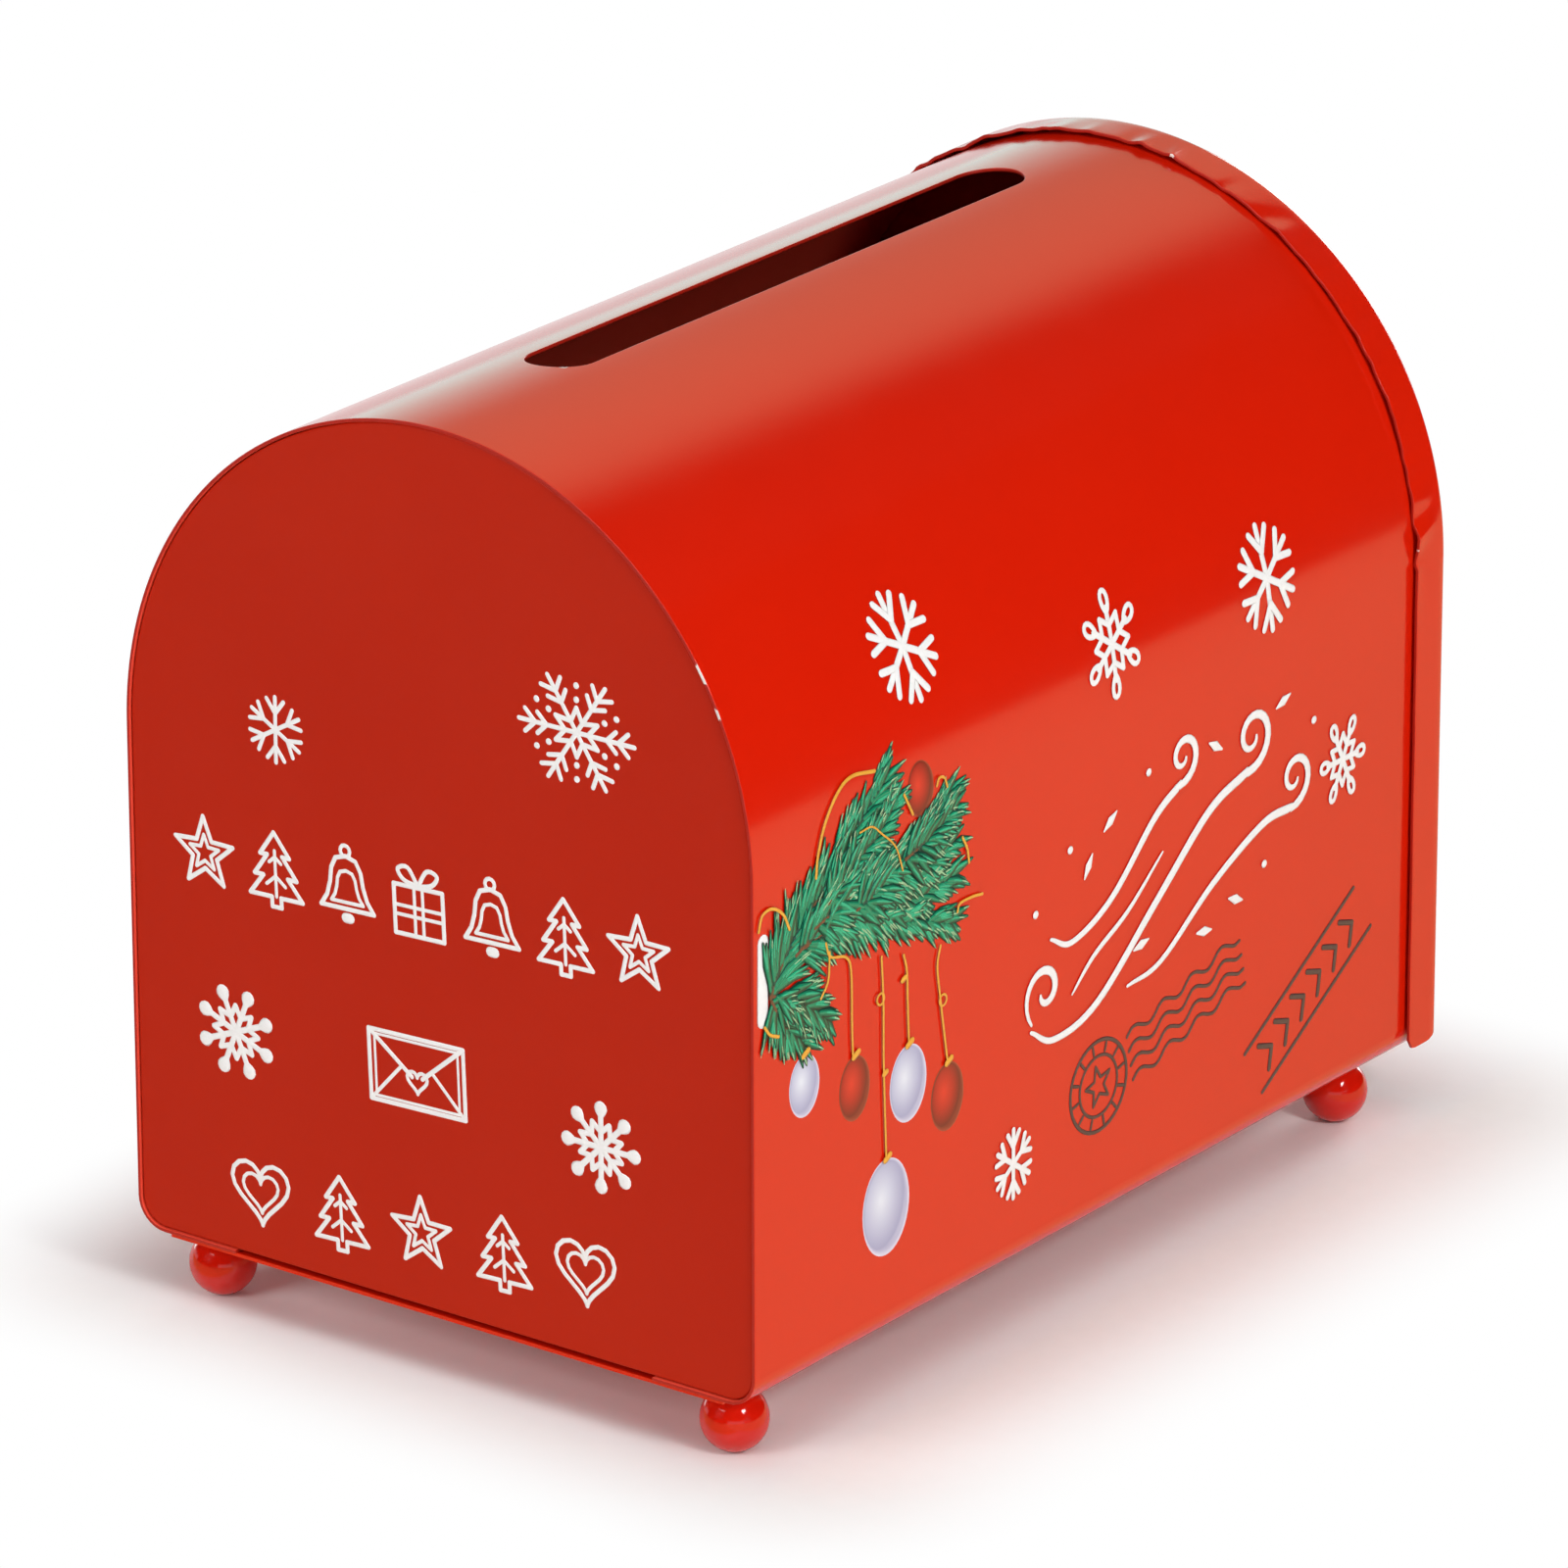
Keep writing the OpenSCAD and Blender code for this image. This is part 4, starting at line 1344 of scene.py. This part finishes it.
BAUBLE_TONES = {     # ink, and its tones from the glow at 0 to the rim
    "lilac": ("lilac_ink", [(0.0, "E2E5EE"), (0.4, "C4C5D9"), (0.8, "A3A2C2"), (0.96, "D8D4E4")]),
    "red": ("glowing_red_ink", [(0.0, "DC3018"), (0.4, "B8200E"), (0.8, "74180C"), (0.96, "A04028")]),
}
BAUBLE_INKS = {kind: bauble_ink(*tones) for kind, tones in BAUBLE_TONES.items()}
print("bauble inks:", ", ".join(BAUBLE_INKS))

# %% Cut the bauble discs
BAUBLE_RINGS = 9
BAUBLE_FACETS = 40
BAUBLE_DOME = 0.05   # the needles and threads lie over the baubles, so these stay low
BAUBLE_FOOT = 0.01   # height of a disc's rim
GLOW = Vector((-0.22, 0.18, 0))      # middle of the glow, on a disc of radius 1
GLOW_REACH = 1.22                    # distance over which it fades
RIM_START = 0.9                      # outside this radius the rim has its own tone
PALEST, DEEPEST = 0.01, 0.86         # tones of the glow; a point without a tone isn't placed yet


def bauble_discs(kind):
    """Every bauble of one colour as low domes, with the tone attribute."""
    bm = bmesh.new()
    tone = bm.verts.layers.float.new("tone")
    for (x, y), half_w, half_h, colour_name in BAUBLES:
        if colour_name != kind:
            continue
        disc = bmesh.ops.create_circle(bm, cap_ends=True, segments=BAUBLE_FACETS, radius=1)["verts"]
        face = disc[0].link_faces[0]
        for _ in range(BAUBLE_RINGS - 1):
            bmesh.ops.inset_individual(bm, faces=[face], thickness=1 / BAUBLE_RINGS)
        for vert in [v for v in bm.verts if not v[tone]]:
            radius = vert.co.length
            glow = (vert.co - GLOW).length / GLOW_REACH
            vert[tone] = max(PALEST, radius if radius > RIM_START else min(glow, DEEPEST))
            height = BAUBLE_DOME * math.sqrt(max(0, 1 - radius ** 2)) + BAUBLE_FOOT
            vert.co = (x + vert.co.x * half_w, y + vert.co.y * half_h, height)
    return bm


# %% Print both sides
SIDE_STRETCH = (0.9, 1.07)
SIDE_FLAKES = (
    placed(plain_flake(7.0, 1.08), (38.4, 95.1), -24, SIDE_STRETCH)
    + placed(drop_flake(7.4, 0.95, 6, True), (81.0, 83.1), 30, SIDE_STRETCH)
    + placed(plain_flake(7.0, 1.08), (117.3, 82.0), -25, SIDE_STRETCH)
    + placed(drop_flake(6.3, 0.92, 6, True), (135.5, 50.2), 0, SIDE_STRETCH)
    + placed(plain_flake(4.6, 0.85), (57.6, 15.8), 30, SIDE_STRETCH)
)
TAG = [(((1.9, 54.8), (2.0, 65.4)), 2.4), (((2.4, 54.6), (4.4, 54.5)), 1.6)]
NEEDLES = grow(random.Random(11))
LIFT = 0.04          # ink on the flat of the side
FLAKE_LIFT = 0.16    # straight strokes have to clear the bend of the arch
SPRIG_LIFT = 0.08    # the needles lie over the baubles
THREAD_LIFT = 0.3    # the threads lie over the needles
SIDE_ART = {         # strokes, ink, bevel resolution, relief and lift
    "tag_white": (TAG, "white", 2, INK_RELIEF, LIFT),
    "twigs_brown": ([twig_stroke(points) for points, _ in TWIGS], "bark", 1, INK_RELIEF, SPRIG_LIFT),
    "threads_gold": (THREADS + THREAD_RINGS + BAUBLE_CAPS + KNOTS, "gold", 1, INK_RELIEF, THREAD_LIFT),
    "print_white": (SIDE_FLAKES + flourish(), "white", 2, INK_RELIEF, FLAKE_LIFT),
    "stamps_grey": (stamps(), "grey", 1, INK_RELIEF, LIFT),
}
for ink, needles in NEEDLES.items():
    SIDE_ART[f"needles_{ink}"] = (needles, ink, 0, THIN_RELIEF, SPRIG_LIFT)

for side, surface in (("right", on_right), ("left", on_left)):
    for name, (strokes, ink, sides, relief, lift) in SIDE_ART.items():
        lay(f"{side}_{name}", stroke_mesh(strokes, sides, relief), INKS[ink], surface, lift)
    for kind, ink in BAUBLE_INKS.items():
        lay(f"{side}_baubles_{kind}", bauble_discs(kind), ink, surface)
print("strokes of needles on each side:", sum(len(n) for n in NEEDLES.values()))

# %% [markdown]
# ## The floor and the room
# The box stands on a plain pale floor. Away from the box the floor fades to pure white, and so does
# the room near the horizon, for the camera and for what is mirrored or seen through alike, so the
# object stands free and its soft shadow stays. Gloss is mostly what a surface mirrors. Higher up the
# room is dark, which keeps the arch's red deep, with one bright wall at the back on the left.

# %% Make the floor's finish
FADE_START, FADE_END = 0.003, 0.038  # metres from the box's own outline
BOARD_GRAIN = 3                      # millimetres


def seen_directly(tree):
    """1 for the rays of the camera, of gloss and of glass, and 0 for those that carry soft light."""
    path = add_node(tree, "LightPath")
    seen = add_node(tree, "Math", {0: path.outputs["Is Camera Ray"], 1: path.outputs["Is Glossy Ray"]},
                    operation="MAXIMUM")
    return add_node(tree, "Math", {0: seen.outputs[0], 1: path.outputs["Is Transmission Ray"]},
                    operation="MAXIMUM").outputs[0]


def floor_material():
    """Matt white board that fades to pure white away from the box."""
    material, tree, shader = new_material("matt_white_board")
    place, _, tint = mottle(tree, BOARD_GRAIN, 3.0, "F3F3F2", "F7F7F6")
    feed(shader, {"Base Color": tint, "Roughness": 0.8, "Specular IOR Level": 0.2})
    folded = add_node(tree, "VectorMath", {0: place}, operation="ABSOLUTE")
    outside = add_node(tree, "VectorMath", {0: folded.outputs[0], 1: (arch_r * MM, wrap_high.y * MM, 0)},
                       operation="SUBTRACT")
    clear = add_node(tree, "VectorMath", {0: outside.outputs[0]}, operation="MAXIMUM")
    distance = add_node(tree, "VectorMath", {0: clear.outputs[0]}, operation="LENGTH")
    fade = add_node(tree, "MapRange", {"Value": distance.outputs["Value"], "From Min": FADE_START,
                                       "From Max": FADE_END}, interpolation_type="SMOOTHSTEP")
    share = add_node(tree, "Math", {0: fade.outputs["Result"], 1: seen_directly(tree)},
                     operation="MULTIPLY")
    glow = add_node(tree, "Emission", {"Color": (1, 1, 1, 1), "Strength": 1.0})
    both = add_node(tree, "MixShader", {0: share.outputs[0], 1: shader.outputs["BSDF"],
                                        2: glow.outputs["Emission"]})
    output = shader.outputs["BSDF"].links[0].to_node
    feed(output, {"Surface": both.outputs["Shader"]})
    return material


# %% Lay the floor
def stage_piece(name, bm, material):
    """A bmesh in metres becomes a piece of the stage."""
    piece = to_scene(name, to_mesh(name, bm))
    piece.data.materials.append(material)
    return piece


FLOOR_SIZE = 6.0     # metres
floor_bm = bmesh.new()
bmesh.ops.create_grid(floor_bm, x_segments=4, y_segments=4, size=FLOOR_SIZE / 2)
floor = stage_piece("floor", floor_bm, floor_material())
print(f"the floor is {floor.dimensions.x:.1f} m wide")

# %% Paint the room
WALL_SIDE = (-0.6, 0.8, 0.0)         # where the bright wall stands, seen from the box
WALL_EDGE = (0.585, 0.715)           # how squarely a ray looks at it, where the wall begins and is full
WALL_TONES = ((0.0, (1.05, 2.05, 1.95)), (0.38, (0.75, 0.55, 0.36)), (0.6, (1.15, 0.88, 0.52)))
HORIZON = (0.08, 0.22)               # heights between which the white of the horizon ends
HORIZON_LINE = 0.01                  # the wall starts this near the horizon
ROOM_DARK = "2A2623"
SOFT_FILL = 0.06                     # what the room adds to the soft light


def paint_room():
    """A room that is white at the horizon and dark above it, but for one bright wall."""
    world = bpy.data.worlds.new("room")
    bpy.context.scene.world = world
    tree = empty_tree(world)
    way = add_node(tree, "TexCoord").outputs["Generated"]
    height = add_node(tree, "SeparateXYZ", {"Vector": way}).outputs["Z"]
    low = add_node(tree, "MapRange", {"Value": height, "From Min": HORIZON[0], "From Max": HORIZON[1],
                                      "To Min": 1.0, "To Max": 0.0}, interpolation_type="SMOOTHSTEP")
    toward = add_node(tree, "VectorMath", {0: way, 1: WALL_SIDE}, operation="DOT_PRODUCT").outputs["Value"]
    flank = add_node(tree, "MapRange", {"Value": toward, "From Min": WALL_EDGE[0],
                                        "From Max": WALL_EDGE[1]}, interpolation_type="SMOOTHSTEP")
    base = add_node(tree, "Mix", {"Factor": low.outputs[0], "A": colour(ROOM_DARK), "B": (1, 1, 1, 1)},
                    data_type="RGBA")
    wall = add_node(tree, "ValToRGB", {"Fac": height})
    fill_ramp(wall, [(level, (*tone, 1)) for level, tone in WALL_TONES])
    above = add_node(tree, "MapRange", {"Value": height, "From Min": -HORIZON_LINE,
                                        "From Max": HORIZON_LINE})
    inside = add_node(tree, "Math", {0: above.outputs["Result"], 1: flank.outputs["Result"]},
                      operation="MULTIPLY")
    room = add_node(tree, "Mix", {"Factor": inside.outputs[0], "A": base.outputs["Result"],
                                  "B": wall.outputs["Color"]}, data_type="RGBA")
    shown = add_node(tree, "Mix", {"Factor": seen_directly(tree), "A": (SOFT_FILL,) * 3 + (1,),
                                   "B": room.outputs["Result"]}, data_type="RGBA")
    sky = add_node(tree, "Background", {"Color": shown.outputs["Result"], "Strength": 1.0})
    add_node(tree, "OutputWorld", {"Surface": sky.outputs["Background"]})


paint_room()
print("tones on the bright wall:", len(WALL_TONES))

# %% [markdown]
# ## Reflection cards
# A studio sets cards beside a glossy product, only to be mirrored in it. Here a cream board lies at
# the right and a dim one in front, and a dark drape stands behind each. The flat side mirrors the
# cream board up to a soft line, where the drape begins, and the front stays deep red. The cards show
# only in reflections and add no light of their own.

# %% Define a card
def card_material(name, hex_code, fade_from=None, fade_to=None):
    """A card of one colour. With two places along Y, in metres, it fades to black between them."""
    material, tree, glow = new_material(name, "Emission")
    feed(glow, {"Color": colour(hex_code), "Strength": 1.0})
    if fade_from is not None:
        place = add_node(tree, "TexCoord").outputs["Object"]
        depth = add_node(tree, "SeparateXYZ", {"Vector": place}).outputs["Y"]
        fade = add_node(tree, "MapRange", {"Value": depth, "From Min": fade_to, "From Max": fade_from})
        feed(glow, {"Strength": fade.outputs["Result"]})
    return material


def reflection_card(name, corner_points, material):
    """A flat card, given by its corners in millimetres, that shows only in reflections."""
    bm = bmesh.new()
    bm.faces.new([bm.verts.new(Vector(p) * MM) for p in corner_points])
    card = stage_piece(name, bm, material)
    for rays in ("camera", "diffuse", "transmission", "volume_scatter", "shadow"):
        setattr(card, "visible_" + rays, False)


# %% Set the reflection cards
CREAM = "FFDDA5"
DIM = "F0BE7C"
CLOTH = "030303"
CARD_Z = 0.5                         # the boards lie this far above the floor, in millimetres
CREAM_SIDE, CREAM_FRONT, CREAM_BACK = 55, -400, 850
EDGE_X, EDGE_SLOPE = 608, 0.618      # where the far edge of the cream board runs
DIM_LEFT, DIM_RIGHT, DIM_FRONT, DIM_BACK = -700, 54, -700, -87
DIM_FADE = (-0.09, -0.26)            # places along Y, in metres, where it is bright and where black
REAR_BACK, REAR_H = 900, 500         # of the rear drape
FRONT_RIGHT, FRONT_H = 200, 400      # of the front drape, which comes nearer at its left end
FRONT_NEAR, FRONT_FAR = -450, -700


def board_edge(y, z=CARD_Z):
    """A point on the far edge of the cream board, where the drape stands."""
    return (EDGE_X - EDGE_SLOPE * y, y, z)


cream = card_material("cream_card", CREAM)
dim = card_material("dim_card", DIM, *DIM_FADE)
cloth = card_material("black_cloth", CLOTH)
CARDS = {
    "cream_board": (cream, [(CREAM_SIDE, CREAM_FRONT, CARD_Z), board_edge(CREAM_FRONT),
                            board_edge(CREAM_BACK), (CREAM_SIDE, CREAM_BACK, CARD_Z)]),
    "dim_board": (dim, [(DIM_LEFT, DIM_FRONT, CARD_Z), (DIM_RIGHT, DIM_FRONT, CARD_Z),
                        (DIM_RIGHT, DIM_BACK, CARD_Z), (DIM_LEFT, DIM_BACK, CARD_Z)]),
    "rear_drape": (cloth, [board_edge(CREAM_FRONT), board_edge(REAR_BACK),
                           board_edge(REAR_BACK, REAR_H), board_edge(CREAM_FRONT, REAR_H)]),
    "front_drape": (cloth, [(DIM_LEFT, FRONT_NEAR, 0), (FRONT_RIGHT, FRONT_FAR, 0),
                            (FRONT_RIGHT, FRONT_FAR, FRONT_H), (DIM_LEFT, FRONT_NEAR, FRONT_H)]),
}
for name, (material, corner_points) in CARDS.items():
    reflection_card(name, corner_points, material)
print("reflection cards:", len(CARDS))

# %% [markdown]
# ## Lamps
# Soft boxes stand round the box: a small one at the right, high enough to send light through the
# slot, a low one beside it for the flat side, a wide one above, and one each in front, behind and at
# the left, so that every side can be looked at. They stand where the faces seen from the front right
# don't mirror them, so the enamel stays clean. Their power is set so that a surface that faces them
# renders about as its colour is written.

# %% Hang the soft boxes
LAMP_AIM = Vector((0, 0, 0.06))  # near the middle of the box, in metres
SOFT_BOXES = {                   # place and size in metres, and power in watts
    "top_box": ((0.35, -0.25, 1.05), 1.0, 4.6),
    "right_box": ((0.92, -0.3, 0.66), 0.22, 4.7),
    "low_box": ((1.15, -0.3, 0.16), 0.4, 3.7),
    "front_box": ((-0.35, -1.1, 0.5), 0.6, 6.6),
    "rear_box": ((-0.15, 1.3, 0.3), 0.7, 9),
    "left_box": ((-1.2, 0.35, 0.2), 0.6, 5),
}

for name, (place, size, power) in SOFT_BOXES.items():
    light = bpy.data.lights.new(name, "AREA")
    light.shape = "SQUARE"
    light.size = size
    light.energy = power
    lamp = to_scene(name, light)
    lamp.location = place
    lamp.rotation_euler = (LAMP_AIM - Vector(place)).to_track_quat("-Z", "Y").to_euler()
print("soft boxes:", len(SOFT_BOXES))

# %% [markdown]
# ## Camera
# A long lens from a metre and a half away, a little above the box and to its right, keeps the
# verticals upright and shows the front panel, the long side and the top at once.

# %% Set the camera
CAMERA_PLACE = Vector((0.840105, -1.129895, 0.596542))
CAMERA_AIM = Vector((-0.00635, 0.0, 0.05869))
CAMERA_ROLL = -0.129     # degrees
LENS = 251.1             # millimetres
SENSOR = 36              # millimetres wide

camera_data = bpy.data.cameras.new("camera")
camera_data.lens = LENS
camera_data.sensor_width = SENSOR
camera_data.clip_end = 10
camera = to_scene("camera", camera_data)
turn = (CAMERA_AIM - CAMERA_PLACE).to_track_quat("-Z", "Y").to_matrix().to_4x4()
camera.matrix_world = (Matrix.Translation(CAMERA_PLACE) @ turn
                       @ Matrix.Rotation(math.radians(CAMERA_ROLL), 4, "Z"))
bpy.context.scene.camera = camera
bpy.context.scene.view_settings.view_transform = "Standard"
print(f"the camera is {(CAMERA_AIM - CAMERA_PLACE).length:.2f} m from what it looks at")
